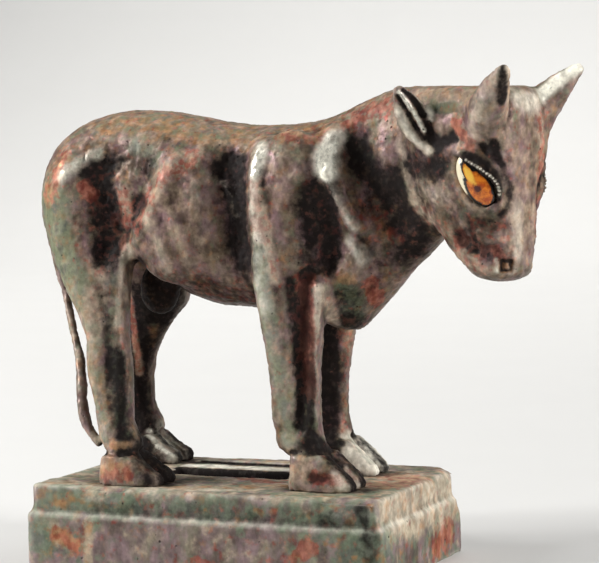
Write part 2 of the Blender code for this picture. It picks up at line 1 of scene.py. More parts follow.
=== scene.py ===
"""Bronze bull figurine: a worn, patinated casting with inlaid eyes on its two-tier plinth.

Places and sizes of pieces are metres, in the frame of the loaded model.  The figure's carving
is drawn in steps of one 117th of its height, counted up from the soles of its hooves, with +X
ahead, +Y to its left and +Z up.  The plinth's wear is drawn in the same steps, counted up from
its underside.
"""

from __future__ import annotations

import logging
import math
from dataclasses import dataclass, field
from enum import Enum

import bmesh
import bpy
import numpy as np
from mathutils import Matrix, Vector, noise


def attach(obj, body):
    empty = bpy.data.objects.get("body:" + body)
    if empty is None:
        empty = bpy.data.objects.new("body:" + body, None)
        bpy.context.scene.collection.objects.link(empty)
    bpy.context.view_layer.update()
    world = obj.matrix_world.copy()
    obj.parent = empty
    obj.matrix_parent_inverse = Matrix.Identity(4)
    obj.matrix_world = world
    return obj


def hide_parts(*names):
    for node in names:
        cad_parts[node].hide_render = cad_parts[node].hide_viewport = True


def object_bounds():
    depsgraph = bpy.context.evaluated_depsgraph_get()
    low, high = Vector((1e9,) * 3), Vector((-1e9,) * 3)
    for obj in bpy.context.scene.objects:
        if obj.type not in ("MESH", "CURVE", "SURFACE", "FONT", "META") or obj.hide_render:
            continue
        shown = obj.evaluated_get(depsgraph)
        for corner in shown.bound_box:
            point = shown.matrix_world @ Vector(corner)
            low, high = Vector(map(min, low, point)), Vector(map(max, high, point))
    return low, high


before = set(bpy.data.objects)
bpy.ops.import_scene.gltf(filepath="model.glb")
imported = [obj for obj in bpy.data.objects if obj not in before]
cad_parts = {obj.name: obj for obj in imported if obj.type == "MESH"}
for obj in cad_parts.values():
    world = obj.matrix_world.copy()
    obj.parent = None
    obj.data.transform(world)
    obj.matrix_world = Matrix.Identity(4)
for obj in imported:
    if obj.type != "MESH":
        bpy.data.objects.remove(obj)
CAD_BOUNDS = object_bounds()

LOG = logging.getLogger("bull")

# The drawing grid of the figure; its soles stand a hair above the plinth
STEP = 0.001
SOLE_HEIGHT = 0.0257
GRID = Matrix.Translation((0, 0, SOLE_HEIGHT)) @ Matrix.Scale(STEP, 4)

X_AXIS = Vector((1, 0, 0))
Y_AXIS = Vector((0, 1, 0))
Z_AXIS = Vector((0, 0, 1))

# The right side and the left one
SIDES = (-1, 1)

Socket = bpy.types.NodeSocket
Colour = tuple[float, float, float, float]
Line = tuple[tuple[float, ...], ...]


class Coat(Enum):
    """The coats of colour, wear, painted shade and painted highlight that lie on the bronze, as names of
    mesh attributes.
    """

    # Painted shade, laid in black; in places it stands for soiling as well
    SHADE_AND_DIRT = "grime"
    # Painted highlights, laid in a pale bright colour
    PAINTED_HIGHLIGHT = "crest"
    PALE = "pale"
    VERDIGRIS = "verdigris"
    CUPRITE = "cuprite"
    OCHRE = "ochre"
    PITS = "pits"


class Texture(Enum):
    """Kinds of pattern node."""

    CLOUD = "ShaderNodeTexNoise"
    CELLS = "ShaderNodeTexVoronoi"


def tone(red: int, green: int, blue: int) -> Colour:
    """A colour given in steps of 0 to 255, as the shader takes it.

    Args:
        red: Red, 0 to 255.
        green: Green, 0 to 255.
        blue: Blue, 0 to 255.

    Returns:
        Linear red, green and blue, and full opacity.
    """
    shares = []
    for value in (red, green, blue):
        share = value / 255
        shares.append(share / 12.92 if share <= 0.04045 else ((share + 0.055) / 1.055) ** 2.4)
    return (shares[0], shares[1], shares[2], 1.0)


def link(name: str, mesh: bpy.types.Mesh) -> bpy.types.Object:
    """Put a mesh in the scene under a name.

    Args:
        name: The piece's name.
        mesh: Its mesh.

    Returns:
        The new object.
    """
    item = bpy.data.objects.new(name, mesh)
    bpy.context.scene.collection.objects.link(item)
    return item


def baked(item: bpy.types.Object) -> bpy.types.Mesh:
    """Apply an object's modifiers and keep only the mesh.

    Args:
        item: An object that is removed.

    Returns:
        The finished mesh.
    """
    graph = bpy.context.evaluated_depsgraph_get()
    mesh = bpy.data.meshes.new_from_object(item.evaluated_get(graph))
    bpy.data.objects.remove(item, do_unlink=True)
    return mesh


def merged_copy(node: str) -> bpy.types.Mesh:
    """A copy of a node's mesh with its loose triangles joined.

    Args:
        node: The node's name.

    Returns:
        A closed mesh in metres.
    """
    bm = bmesh.new()
    bm.from_mesh(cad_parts[node].data)
    bmesh.ops.remove_doubles(bm, verts=bm.verts, dist=1e-6)
    mesh = bpy.data.meshes.new(node + "_copy")
    bm.to_mesh(mesh)
    bm.free()
    return mesh


def melted(mesh: bpy.types.Mesh, voxel: float, steps: int) -> bpy.types.Mesh:
    """One even skin over all that a mesh holds.

    Args:
        mesh: Closed forms that may overlap.
        voxel: Size of the new faces.
        steps: How often the skin is eased.

    Returns:
        The new mesh.
    """
    item = link("melt", mesh)
    melt = item.modifiers.new("melt", "REMESH")
    melt.mode = "VOXEL"
    melt.voxel_size = voxel
    ease = item.modifiers.new("ease", "SMOOTH")
    ease.factor = 0.5
    ease.iterations = steps
    return baked(item)


def thinned(mesh: bpy.types.Mesh, triangles: int) -> bpy.types.Mesh:
    """The same skin with no more triangles than asked.

    Args:
        mesh: The skin.
        triangles: The most it may have.

    Returns:
        The lighter mesh.
    """
    item = link("thin", mesh)
    count = sum(len(face.vertices) - 2 for face in mesh.polygons)
    thin = item.modifiers.new("thin", "DECIMATE")
    thin.ratio = min(1.0, triangles / count)
    return baked(item)


def skin_rings(bm: bmesh.types.BMesh, rings: list[list[Vector]]) -> None:
    """Close a run of rings of points into one solid.

    Args:
        bm: Where the solid goes.
        rings: Rings with the same number of points.
    """
    loops = []
    for ring in rings:
        corners = [bm.verts.new(point) for point in ring]
        loops.append([bm.edges.new(pair) for pair in zip(corners, corners[1:] + corners[:1])])
    for first, second in zip(loops, loops[1:]):
        bmesh.ops.bridge_loops(bm, edges=first + second)
    for end in (loops[0], loops[-1]):
        bmesh.ops.holes_fill(bm, edges=end, sides=0)


def smooth_path(
    points: list[Vector], sizes: list[tuple[float, float]], pieces: int
) -> list[tuple[Vector, tuple[float, float]]]:
    """More places on a smooth line through the given ones.

    Args:
        points: Places on the line.
        sizes: Two half sizes at each place.
        pieces: How many new places each gap gets.

    Returns:
        Pairs of a place and its two half sizes.
    """
    rows = []
    last = len(points) - 1
    for index in range(last):
        before = points[max(index - 1, 0)]
        start, end = points[index], points[index + 1]
        after = points[min(index + 2, last)]
        for step in range(pieces):
            share = step / pieces
            leave = (end - before) / 2
            arrive = (after - start) / 2
            place = (
                start * (2 * share**3 - 3 * share**2 + 1)
                + leave * (share**3 - 2 * share**2 + share)
                + end * (3 * share**2 - 2 * share**3)
                + arrive * (share**3 - share**2)
            )
            wide = sizes[index][0] * (1 - share) + sizes[index + 1][0] * share
            thin = sizes[index][1] * (1 - share) + sizes[index + 1][1] * share
            rows.append((place, (wide, thin)))
    rows.append((points[last], sizes[last]))
    return rows


def add_rope(
    bm: bmesh.types.BMesh,
    points: list[Vector],
    sizes: list[tuple[float, float]],
    facing: Vector,
    round_sides: int = 20,
    pieces: int = 6,
) -> None:
    """A solid along a path, wide in one direction and thin across it.

    Args:
        bm: Where the solid goes.
        points: Places on its middle line.
        sizes: Its half width and half thickness at each place.
        facing: The direction of its width.
        round_sides: Points around it.
        pieces: Rings in each gap between two places.
    """
    rows = smooth_path(points, sizes, pieces)
    rings = []
    for index, (centre, (wide, thin)) in enumerate(rows):
        before = rows[max(index - 1, 0)][0]
        after = rows[min(index + 1, len(rows) - 1)][0]
        run = (after - before).normalized()
        wide_way = (facing - run * facing.dot(run)).normalized()
        thin_way = run.cross(wide_way)
        ring = []
        for step in range(round_sides):
            angle = 2 * math.pi * step / round_sides
            offset = wide_way * wide * math.cos(angle) + thin_way * thin * math.sin(angle)
            ring.append(centre + offset)
        rings.append(ring)
    skin_rings(bm, rings)


@dataclass(frozen=True)
class DrawingPlane:
    """A flat view of the skin, in which strokes are drawn and from which they are pressed in.

    Attributes:
        origin: A place on the plane.
        across: The direction of a stroke's first number.
        up: The direction of its second.
        facing: The direction from which the skin is seen.
        start: How far toward the viewer the strokes begin.
        stop: How far toward the viewer they end.
        fade: Over what distance they begin and end.
    """

    origin: Vector
    across: Vector
    up: Vector
    facing: Vector
    start: float = -60.0
    stop: float = 60.0
    fade: float = 2.0

    def flat(self, places: np.ndarray) -> np.ndarray:
        """Where the places lie in the view, as pairs of numbers."""
        offset = places - np.array(self.origin)
        return np.column_stack((offset @ np.array(self.across), offset @ np.array(self.up)))

    def shows(self, places: np.ndarray, normals: np.ndarray) -> np.ndarray:
        """How fully the view sees each place, from 0 to 1."""
        toward = (places - np.array(self.origin)) @ np.array(self.facing)
        turned = np.clip(normals @ np.array(self.facing), 0, 1)
        begun = np.clip((toward - self.start) / self.fade, 0, 1)
        ended = np.clip((self.stop - toward) / self.fade, 0, 1)
        return turned * begun * ended


@dataclass(frozen=True)
class Stroke:
    """One stroke of the carver: a ridge, a hollow or only a coat of colour.

    Attributes:
        path: Places along it, in a view or in space.
        reach: How far from the path it works.
        rise: How far it lifts the skin; below zero it presses in.
        coats: The coats it lays, and how thickly.
    """

    path: Line
    reach: float
    rise: float = 0.0
    coats: tuple[tuple[Coat, float], ...] = ()

    def plainer(self, share: float) -> Stroke:
        """The same stroke with thinner coats.

        Args:
            share: How much of each coat is left.

        Returns:
            The new stroke.
        """
        coats = tuple((coat, thickness * share) for coat, thickness in self.coats)
        return Stroke(self.path, self.reach, self.rise, coats)


Drawing = tuple[tuple[Stroke, ...], DrawingPlane | None]


def drawn(path: Line, reach: float, rise: float = 0.0, **coats: float) -> Stroke:
    """A stroke whose coats are given by their names.

    Args:
        path: Places along it, in a view or in space.
        reach: How far from the path it works.
        rise: How far it lifts the skin; below zero it presses in.
        **coats: How thickly each coat is laid.

    Returns:
        The stroke.
    """
    laid = tuple((Coat(name), thickness) for name, thickness in coats.items())
    return Stroke(path, reach, rise, laid)


class Skin:
    """The surface of a casting while it is carved and coated, in grid steps.

    Attributes:
        eaten_from: How thick a coat is before it roughens the skin.
        rim_limit: How much of the holes' depth their raised rims may have.
    """

    eaten_from = 0.05
    rim_limit = 0.2

    def __init__(self, mesh: bpy.types.Mesh, lift: float) -> None:
        """Read a mesh.

        Args:
            mesh: The mesh in metres.
            lift: The height in metres from which the grid counts.
        """
        self.mesh = mesh
        self.lift = lift
        places = np.empty(len(mesh.vertices) * 3)
        mesh.vertices.foreach_get("co", places)
        self.places = (places.reshape(-1, 3) - (0, 0, lift)) / STEP
        self.coats = {coat: np.zeros(len(self.places)) for coat in Coat}
        self.read_normals()

    def read_normals(self) -> None:
        """Take the normals that the mesh has now."""
        normals = np.empty(len(self.mesh.vertices) * 3)
        self.mesh.vertex_normals.foreach_get("vector", normals)
        self.normals = normals.reshape(-1, 3)

    def weight(self, stroke: Stroke, plane: DrawingPlane | None) -> np.ndarray:
        """How strongly a stroke works on each place.

        Args:
            stroke: The stroke.
            plane: The view it is drawn in, or None for a path in space.

        Returns:
            A share from 0 to 1 for each place.
        """
        spots = self.places if plane is None else plane.flat(self.places)
        path = np.array(stroke.path, float)
        nearest = np.full(len(spots), np.inf)
        for start, end in zip(path, path[1:]):
            run = end - start
            share = np.clip((spots - start) @ run / max(run @ run, 1e-9), 0, 1)
            gap = np.linalg.norm(spots - start - share[:, None] * run, axis=1)
            nearest = np.minimum(nearest, gap)
        falloff = np.clip(1 - (nearest / stroke.reach) ** 2, 0, None) ** 2
        if plane is not None:
            falloff = falloff * plane.shows(self.places, self.normals)
        return falloff

    def carve(self, strokes: tuple[Stroke, ...], plane: DrawingPlane | None = None) -> None:
        """Lift or press the skin along each stroke that has a rise.

        Args:
            strokes: The strokes.
            plane: The view they are drawn in.
        """
        for stroke in strokes:
            if stroke.rise:
                self.places += self.normals * (self.weight(stroke, plane) * stroke.rise)[:, None]

    def coat(self, strokes: tuple[Stroke, ...], plane: DrawingPlane | None = None) -> None:
        """Lay the coats of each stroke that has some.

        Args:
            strokes: The strokes.
            plane: The view they are drawn in.
        """
        for stroke in strokes:
            if stroke.coats:
                weight = self.weight(stroke, plane)
                for coat, thickness in stroke.coats:
                    self.lay(coat, weight * thickness)

    def lay(self, coat: Coat, amounts: np.ndarray) -> None:
        """Add to a coat, and keep it between none and full.

        Args:
            coat: The coat.
            amounts: How much each place gets.
        """
        self.coats[coat] = np.clip(self.coats[coat] + amounts, 0, 1)

    def wear(self, depth: float, size: float, shift: float) -> None:
        """Lift and press the skin unevenly, as a hand-worked surface is.

        Args:
            depth: The most it moves.
            size: How wide its waves are.
            shift: Which part of the endless pattern is used.
        """
        offset = Vector((shift, shift, shift))
        waves = [noise.noise(Vector(place) / size + offset) for place in self.places]
        self.places += self.normals * (np.array(waves) * depth)[:, None]

    def roughen(self, coat: Coat, depth: float, size: float, shift: float) -> None:
        """Press small holes into the skin where a coat lies.

        Args:
            coat: The coat that is eaten.
            depth: The holes' greatest depth.
            size: How wide they are.
            shift: Which part of the endless pattern is used.
        """
        eaten = np.flatnonzero(self.coats[coat] > self.eaten_from)
        offset = Vector((shift, shift, shift))
        waves = np.array([noise.noise(Vector(self.places[index]) / size + offset) for index in eaten])
        push = np.clip(waves, -self.rim_limit, None) * self.coats[coat][eaten] * depth
        self.places[eaten] -= self.normals[eaten] * push[:, None]

    def relief(self, steps: int) -> np.ndarray:
        """How far each place lies below the eased skin around it; ridges come out below zero.

        Args:
            steps: How often the skin is eased.

        Returns:
            The depth of each place in grid steps.
        """
        ends = np.empty(len(self.mesh.edges) * 2, np.int32)
        self.mesh.edges.foreach_get("vertices", ends)
        first, second = ends.reshape(-1, 2).T
        count = len(self.places)
        members = np.bincount(first, minlength=count) + np.bincount(second, minlength=count)
        eased = self.places.copy()
        for _ in range(steps):
            for axis in range(3):
                column = eased[:, axis]
                total = np.bincount(first, column[second], count)
                total += np.bincount(second, column[first], count)
                eased[:, axis] = (column + total / members) / 2
        return np.sum((eased - self.places) * self.normals, axis=1)

    def store(self) -> None:
        """Write the places back to the mesh, in metres and inside the solid's box."""
        places = np.clip(self.places * STEP + (0, 0, self.lift), *CAD_BOUNDS)
        self.mesh.vertices.foreach_set("co", places.reshape(-1))
        self.mesh.update()
        self.read_normals()

    def store_coats(self) -> None:
        """Write each coat to the mesh as an attribute of its vertices."""
        for coat, amounts in self.coats.items():
            layer = self.mesh.attributes.new(coat.value, "FLOAT", "POINT")
            layer.data.foreach_set("value", amounts)


class Shades:
    """A material's node tree, put together a step at a time.

    Attributes:
        threshold: The level from which a broken coat shows.
        growth: How much a full coat adds to that level.
    """

    threshold = 0.76
    growth = 0.52

    def __init__(self, name: str) -> None:
        """Start a material.

        Args:
            name: The material's name.
        """
        self.material = bpy.data.materials.new(name)
        self.material.use_nodes = True
        self.tree = self.material.node_tree
        self.shader = self.tree.nodes["Principled BSDF"]
        self.place = self.tree.nodes.new("ShaderNodeTexCoord").outputs["Object"]

    def feed(self, socket: Socket, value: object) -> None:
        """Give a socket a constant or a link.

        Args:
            socket: The socket.
            value: Another node's output, a number or a colour.
        """
        if isinstance(value, Socket):
            self.tree.links.new(value, socket)
        else:
            socket.default_value = value

    def pattern(
        self, kind: Texture, size: float, detail: float = 3.0, shift: float = 0.0, stretch: float = 1.0
    ) -> Socket:
        """A pattern in space.

        Args:
            kind: Clouds or cells.
            size: The width of its features in metres.
            detail: How many finer layers it has.
            shift: Which part of the endless pattern is used.
            stretch: How much longer its features are upright than across.

        Returns:
            Its strength, about 0 to 1.
        """
        moved = self.tree.nodes.new("ShaderNodeMapping")
        moved.inputs["Location"].default_value = (shift, shift, shift)
        moved.inputs["Scale"].default_value = (1.0, 1.0, 1 / stretch)
        self.feed(moved.inputs["Vector"], self.place)
        made = self.tree.nodes.new(kind.value)
        self.feed(made.inputs["Vector"], moved.outputs["Vector"])
        made.inputs["Scale"].default_value = 1 / size
        made.inputs["Detail"].default_value = detail
        if kind is Texture.CLOUD:
            made.inputs["Roughness"].default_value = 0.55
            return made.outputs["Fac"]
        return made.outputs["Distance"]

    def attribute(self, name: str) -> Socket:
        """The value that an attribute has at each place."""
        made = self.tree.nodes.new("ShaderNodeAttribute")
        made.attribute_name = name
        return made.outputs["Fac"]

    def math(self, operation: str, first: object, second: object) -> Socket:
        """A sum, product or other combination of two values.

        Args:
            operation: The operation's name.
            first: A number or a node's output.
            second: A number or a node's output.

        Returns:
            The result.
        """
        made = self.tree.nodes.new("ShaderNodeMath")
        made.operation = operation
        self.feed(made.inputs[0], first)
        self.feed(made.inputs[1], second)
        return made.outputs["Value"]

    def ramp(
        self, value: Socket, low: float, high: float, start: float = 0.0, end: float = 1.0
    ) -> Socket:
        """A smooth step from one value to another.

        Args:
            value: What drives the step.
            low: Where it starts.
            high: Where it ends.
            start: The result up to low.
            end: The result from high on.

        Returns:
            The stepped value.
        """
        made = self.tree.nodes.new("ShaderNodeMapRange")
        made.interpolation_type = "SMOOTHSTEP"
        self.feed(made.inputs["Value"], value)
        made.inputs["From Min"].default_value = low
        made.inputs["From Max"].default_value = high
        made.inputs["To Min"].default_value = start
        made.inputs["To Max"].default_value = end
        return made.outputs["Result"]

    def over(self, factor: object, under: object, top: object, blend: str = "MIX") -> Socket:
        """One colour laid over another.

        Args:
            factor: How fully it covers.
            under: The colour below.
            top: The colour on top.
            blend: How the two are combined.

        Returns:
            The mixed colour.
        """
        made = self.tree.nodes.new("ShaderNodeMix")
        made.data_type = "RGBA"
        made.blend_type = blend
        self.feed(made.inputs["Factor"], factor)
        self.feed(made.inputs["A"], under)
        self.feed(made.inputs["B"], top)
        return made.outputs["Result"]

    def glaze(self, patches: object, cover: float, under: object, top: object) -> Socket:
        """One colour over another where the patches lie, with some of the lower one coming through.

        Args:
            patches: Where it lies.
            cover: How much of the lower colour it hides there.
            under: The colour below.
            top: The colour on top.

        Returns:
            The mixed colour.
        """
        return self.over(self.math("MULTIPLY", patches, cover), under, top)

    def patchy(self, coat: Coat, size: float, shift: float, softness: float = 0.07) -> Socket:
        """A coat broken up into patches, which grow together where the coat is thick.

        Args:
            coat: The coat.
            size: The patches' width in metres.
            shift: Which part of the endless pattern is used.
            softness: How soft the patches' edges are.

        Returns:
            How fully the coat covers.
        """
        cloud = self.pattern(Texture.CLOUD, size, 3.0, shift)
        there = self.math("MULTIPLY", self.attribute(coat.value), self.growth)
        level = self.math("SUBTRACT", self.math("ADD", cloud, there), self.threshold)
        return self.ramp(level, -softness, softness)

    def bump(self, height: Socket, strength: float, distance: float) -> None:
        """Roughen the surface by a height.

        Args:
            height: The height pattern.
            strength: How strong it shows.
            distance: Its full height in metres.
        """
        made = self.tree.nodes.new("ShaderNodeBump")
        made.inputs["Strength"].default_value = strength
        made.inputs["Distance"].default_value = distance
        self.feed(made.inputs["Height"], height)
        before = self.shader.inputs["Normal"]
        if before.is_linked:
            self.feed(made.inputs["Normal"], before.links[0].from_socket)
        self.feed(before, made.outputs["Normal"])


@dataclass(frozen=True)
class BronzeFinish:
    """Old bronze: brown metal under pale, green and red crusts, with black painted shade and soiling in
    its hollows and painted highlights on its ridges.

    Attributes:
        fleck: The width of its finest specks in metres.
        patch: The width of its patches in metres.
        pale_edge: How soft the edges of the pale patches are.
        crust_edge: How soft those of the green and orange ones are.
        red_edge: How soft those of the red ones are.
        pale_cover: How much the pale crust hides.
        green_cover: How much the green one hides.
        ochre_cover: How much the orange one hides.
        red_cover: How much the red one hides.
        pit_cover: How black the pits are.
        crust_roughness: How much rougher than the metal a crust is.
        crest_polish: How much smoother than the metal it is under the painted highlights.
    """

    name: str
    brown: Colour = tone(106, 87, 78)
    umber: Colour = tone(72, 55, 48)
    olive: Colour = tone(102, 89, 70)
    mauve: Colour = tone(126, 98, 102)
    beige: Colour = tone(172, 150, 126)
    green: Colour = tone(122, 136, 104)
    dark_green: Colour = tone(38, 66, 56)
    red: Colour = tone(138, 46, 34)
    rose: Colour = tone(164, 94, 76)
    ochre: Colour = tone(168, 116, 68)
    # The black of the painted shade, and of the pits
    black: Colour = tone(18, 11, 10)
    # The colour of the painted highlights
    bright: Colour = tone(232, 228, 212)
    metallic: float = 0.32
    roughness: float = 0.40
    specular: float = 0.14
    fleck: float = 0.0013
    patch: float = 0.0034
    pale_edge: float = 0.28
    crust_edge: float = 0.20
    red_edge: float = 0.10
    pale_cover: float = 0.75
    green_cover: float = 0.70
    ochre_cover: float = 0.62
    red_cover: float = 0.66
    pit_cover: float = 0.85
    crust_roughness: float = 0.28
    crest_polish: float = 0.16

    def ground(self, shades: Shades) -> Socket:
        """The metal's own uneven brown.

        Args:
            shades: The material being made.

        Returns:
            Its colour.
        """
        drift = shades.pattern(Texture.CLOUD, self.patch * 4, 4.0)
        mottle = shades.pattern(Texture.CLOUD, self.patch * 1.1, 4.0, 3.0, 1.8)
        veil = shades.pattern(Texture.CLOUD, self.patch * 1.5, 4.0, 41.0, 1.8)
        colour = shades.over(shades.ramp(drift, 0.38, 0.62), self.brown, self.umber)
        colour = shades.over(shades.ramp(mottle, 0.42, 0.66, 0.0, 0.6), colour, self.olive)
        return shades.over(shades.ramp(veil, 0.42, 0.62, 0.0, 0.75), colour, self.mauve)

    def crusted(self, shades: Shades, colour: object, grain: object) -> tuple[object, object, object]:
        """The ground under its pale, green, orange and red crusts.

        Args:
            shades: The material being made.
            colour: The ground.
            grain: A fine pattern.

        Returns:
            The new colour, how fully pale and green crust cover it, and how fully red does.
        """
        mingled = shades.ramp(grain, 0.40, 0.62)
        pale = shades.patchy(Coat.PALE, self.patch, 11.0, self.pale_edge)
        colour = shades.glaze(pale, self.pale_cover, colour, self.beige)
        green = shades.patchy(Coat.VERDIGRIS, self.patch * 0.9, 17.0, self.crust_edge)
        shade = shades.over(mingled, self.green, self.dark_green)
        colour = shades.glaze(green, self.green_cover, colour, shade)
        ochre = shades.patchy(Coat.OCHRE, self.patch * 0.8, 29.0, self.crust_edge)
        colour = shades.glaze(ochre, self.ochre_cover, colour, self.ochre)
        red = shades.patchy(Coat.CUPRITE, self.patch * 0.6, 23.0, self.red_edge)
        rust = shades.over(mingled, self.red, self.rose)
        colour = shades.glaze(red, self.red_cover, colour, rust)
        return colour, shades.math("MAXIMUM", green, pale), red

    def shaded_and_dirtied(self, shades: Shades, red: object) -> Socket:
        """How fully the black painted shade, with its soiling, covers the bronze; red crust comes through
        it a little.

        Args:
            shades: The material being made.
            red: How fully red crust covers it.

        Returns:
            The cover.
        """
        grime = shades.attribute(Coat.SHADE_AND_DIRT.value)
        smudge = shades.pattern(Texture.CLOUD, self.patch * 0.5, 5.0, 53.0)
        edge = shades.math("ADD", grime, shades.ramp(smudge, 0.30, 0.70, -0.17, 0.17))
        shade_and_dirt_cover = shades.ramp(edge, 0.0, 1.04, 0.0, 0.98)
        return shades.math("MULTIPLY", shade_and_dirt_cover, shades.ramp(red, 0.0, 1.0, 1.0, 0.84))

    def pitted(self, shades: Shades) -> Socket:
        """Where the small pits are.

        Args:
            shades: The material being made.

        Returns:
            Their depth, 0 to 1.
        """
        cells = shades.pattern(Texture.CELLS, self.fleck * 1.6, 1.0)
        hole = shades.ramp(cells, 0.16, 0.40, 1.0, 0.0)
        return shades.math("MULTIPLY", hole, shades.patchy(Coat.PITS, self.patch * 1.3, 31.0))

    def build(self) -> bpy.types.Material:
        """The finish as a material."""
        shades = Shades(self.name)
        inputs = shades.shader.inputs
        fleck = shades.pattern(Texture.CLOUD, self.fleck, 4.0, 7.0)
        grain = shades.pattern(Texture.CLOUD, self.fleck * 2.4, 5.0, 13.0, 1.6)
        colour, crust, red = self.crusted(shades, self.ground(shades), grain)
        # Painted highlights: the bright colour laid where the highlight coat lies
        crest = shades.attribute(Coat.PAINTED_HIGHLIGHT.value)
        highlight_cover = shades.math("MULTIPLY", crest, shades.ramp(grain, 0.30, 0.58, 0.76, 1.0))
        colour = shades.over(highlight_cover, colour, self.bright)
        light = shades.ramp(grain, 0.30, 0.70, 0.70, 1.28)
        light = shades.math("MULTIPLY", light, shades.ramp(fleck, 0.30, 0.70, 0.84, 1.14))
        colour = shades.over(1.0, colour, light, "MULTIPLY")
        # Painted shade, laid in black over the colour
        shade_and_dirt_cover = self.shaded_and_dirtied(shades, red)
        colour = shades.over(shade_and_dirt_cover, colour, self.black)
        pits = self.pitted(shades)
        shades.feed(inputs["Base Color"], shades.glaze(pits, self.pit_cover, colour, self.black))
        crust = shades.math("MAXIMUM", crust, shade_and_dirt_cover)
        shades.feed(inputs["Metallic"], shades.ramp(crust, 0.0, 1.0, self.metallic, 0.0))
        rough = shades.ramp(crust, 0.0, 1.0, self.roughness, self.roughness + self.crust_roughness)
        rough = shades.math("SUBTRACT", rough, shades.math("MULTIPLY", crest, self.crest_polish))
        rough = shades.math("ADD", rough, shades.ramp(fleck, 0.3, 0.7, -0.06, 0.10))
        shades.feed(inputs["Roughness"], rough)
        inputs["Specular IOR Level"].default_value = self.specular
        shades.bump(grain, strength=0.35, distance=0.0004)
        shades.bump(fleck, strength=0.25, distance=0.00025)
        shades.bump(shades.math("MULTIPLY", pits, -1.0), strength=0.6, distance=0.0005)
        return shades.material


@dataclass(frozen=True)
class Oval:
    """An oval on the eye's face, in shares of the eye's half length and half width."""

    along: float
    across: float
    length: float
    width: float


@dataclass(frozen=True)
class EyeFinish:
    """A polished inlay: pale rim, amber iris and a dark pupil, drawn along and across the eye, with a band
    of painted shade under the upper lid.
    """

    name: str = "eye_inlay"
    rim: Colour = tone(226, 216, 186)
    amber: Colour = tone(214, 122, 34)
    gold: Colour = tone(240, 196, 82)
    rust: Colour = tone(168, 72, 20)
    pupil: Colour = tone(72, 20, 12)
    # The dark edging of the iris, and the painted shade under the lid
    outline_and_lid_shade: Colour = tone(16, 14, 12)
    lid: Colour = tone(84, 74, 60)
    roughness: float = 0.24
    iris: Oval = Oval(-0.30, -0.04, 0.64, 0.68)
    iris_tip: Oval = Oval(0.26, -0.15, 0.46, 0.28)
    pupil_spot: Oval = Oval(-0.30, -0.12, 0.17, 0.26)

    def spot(self, shades: Shades, oval: Oval) -> Socket:
        """How far each place is from the middle of an oval, 1 being its edge.

        Args:
            shades: The material being made.
            oval: The oval.

        Returns:
            The distance.
        """
        waver = shades.ramp(shades.pattern(Texture.CLOUD, 0.0012, 2.0, 5.0), 0.3, 0.7, -0.05, 0.05)
        along = shades.math("ADD", shades.attribute("eye_along"), waver)
        far_along = shades.math("SUBTRACT", along, oval.along)
        far_across = shades.math("SUBTRACT", shades.attribute("eye_across"), oval.across)
        first = shades.math("POWER", shades.math("DIVIDE", far_along, oval.length), 2.0)
        second = shades.math("POWER", shades.math("DIVIDE", far_across, oval.width), 2.0)
        return shades.math("SQRT", shades.math("ADD", first, second), 0.0)

    def build(self) -> bpy.types.Material:
        """The finish as a material."""
        shades = Shades(self.name)
        cloud = shades.pattern(Texture.CLOUD, 0.0016, 3.0)
        across = shades.attribute("eye_across")
        along = shades.attribute("eye_along")
        rind = shades.over(shades.ramp(along, -0.30, -0.16), self.lid, self.rim)
        # A band of painted shade, in the dark edging colour, over the upper part of the rim under the lid
        upper = shades.ramp(across, -0.16, -0.06)
        rear = shades.ramp(along, -0.62, -0.45)
        rind = shades.over(shades.math("MULTIPLY", upper, rear), rind, self.outline_and_lid_shade)
        iris = shades.over(shades.ramp(cloud, 0.38, 0.62), self.amber, self.rust)
        tip = self.spot(shades, self.iris_tip)
        edge = shades.math("MINIMUM", self.spot(shades, self.iris), tip)
        iris = shades.over(shades.ramp(tip, 0.45, 1.10, 0.85, 0.0), iris, self.gold)
        pupil = self.spot(shades, self.pupil_spot)
        iris = shades.over(shades.ramp(pupil, 0.5, 1.25, 1.0, 0.0), iris, self.pupil)
        colour = shades.over(shades.ramp(edge, 0.84, 1.0), iris, self.outline_and_lid_shade)
        colour = shades.over(shades.ramp(edge, 1.10, 1.24), colour, rind)
        shades.feed(shades.shader.inputs["Base Color"], colour)
        shades.shader.inputs["Roughness"].default_value = self.roughness
        shades.bump(cloud, strength=0.25, distance=0.0002)
        return shades.material


@dataclass(frozen=True)
class FloorFinish:
    """Plain pale paper."""

    name: str = "pale_floor"
    colour: Colour = tone(214, 213, 210)
    roughness: float = 0.75
    cloud_size: float = 0.05
    unevenness: float = 1.03

    def build(self) -> bpy.types.Material:
        """The finish as a material."""
        shades = Shades(self.name)
        cloud = shades.pattern(Texture.CLOUD, self.cloud_size, 2.0)
        lighter = tuple(min(1.0, share * self.unevenness) for share in self.colour[:3]) + (1.0,)
        shades.feed(shades.shader.inputs["Base Color"], shades.over(cloud, self.colour, lighter))
        shades.shader.inputs["Roughness"].default_value = self.roughness
        return shades.material


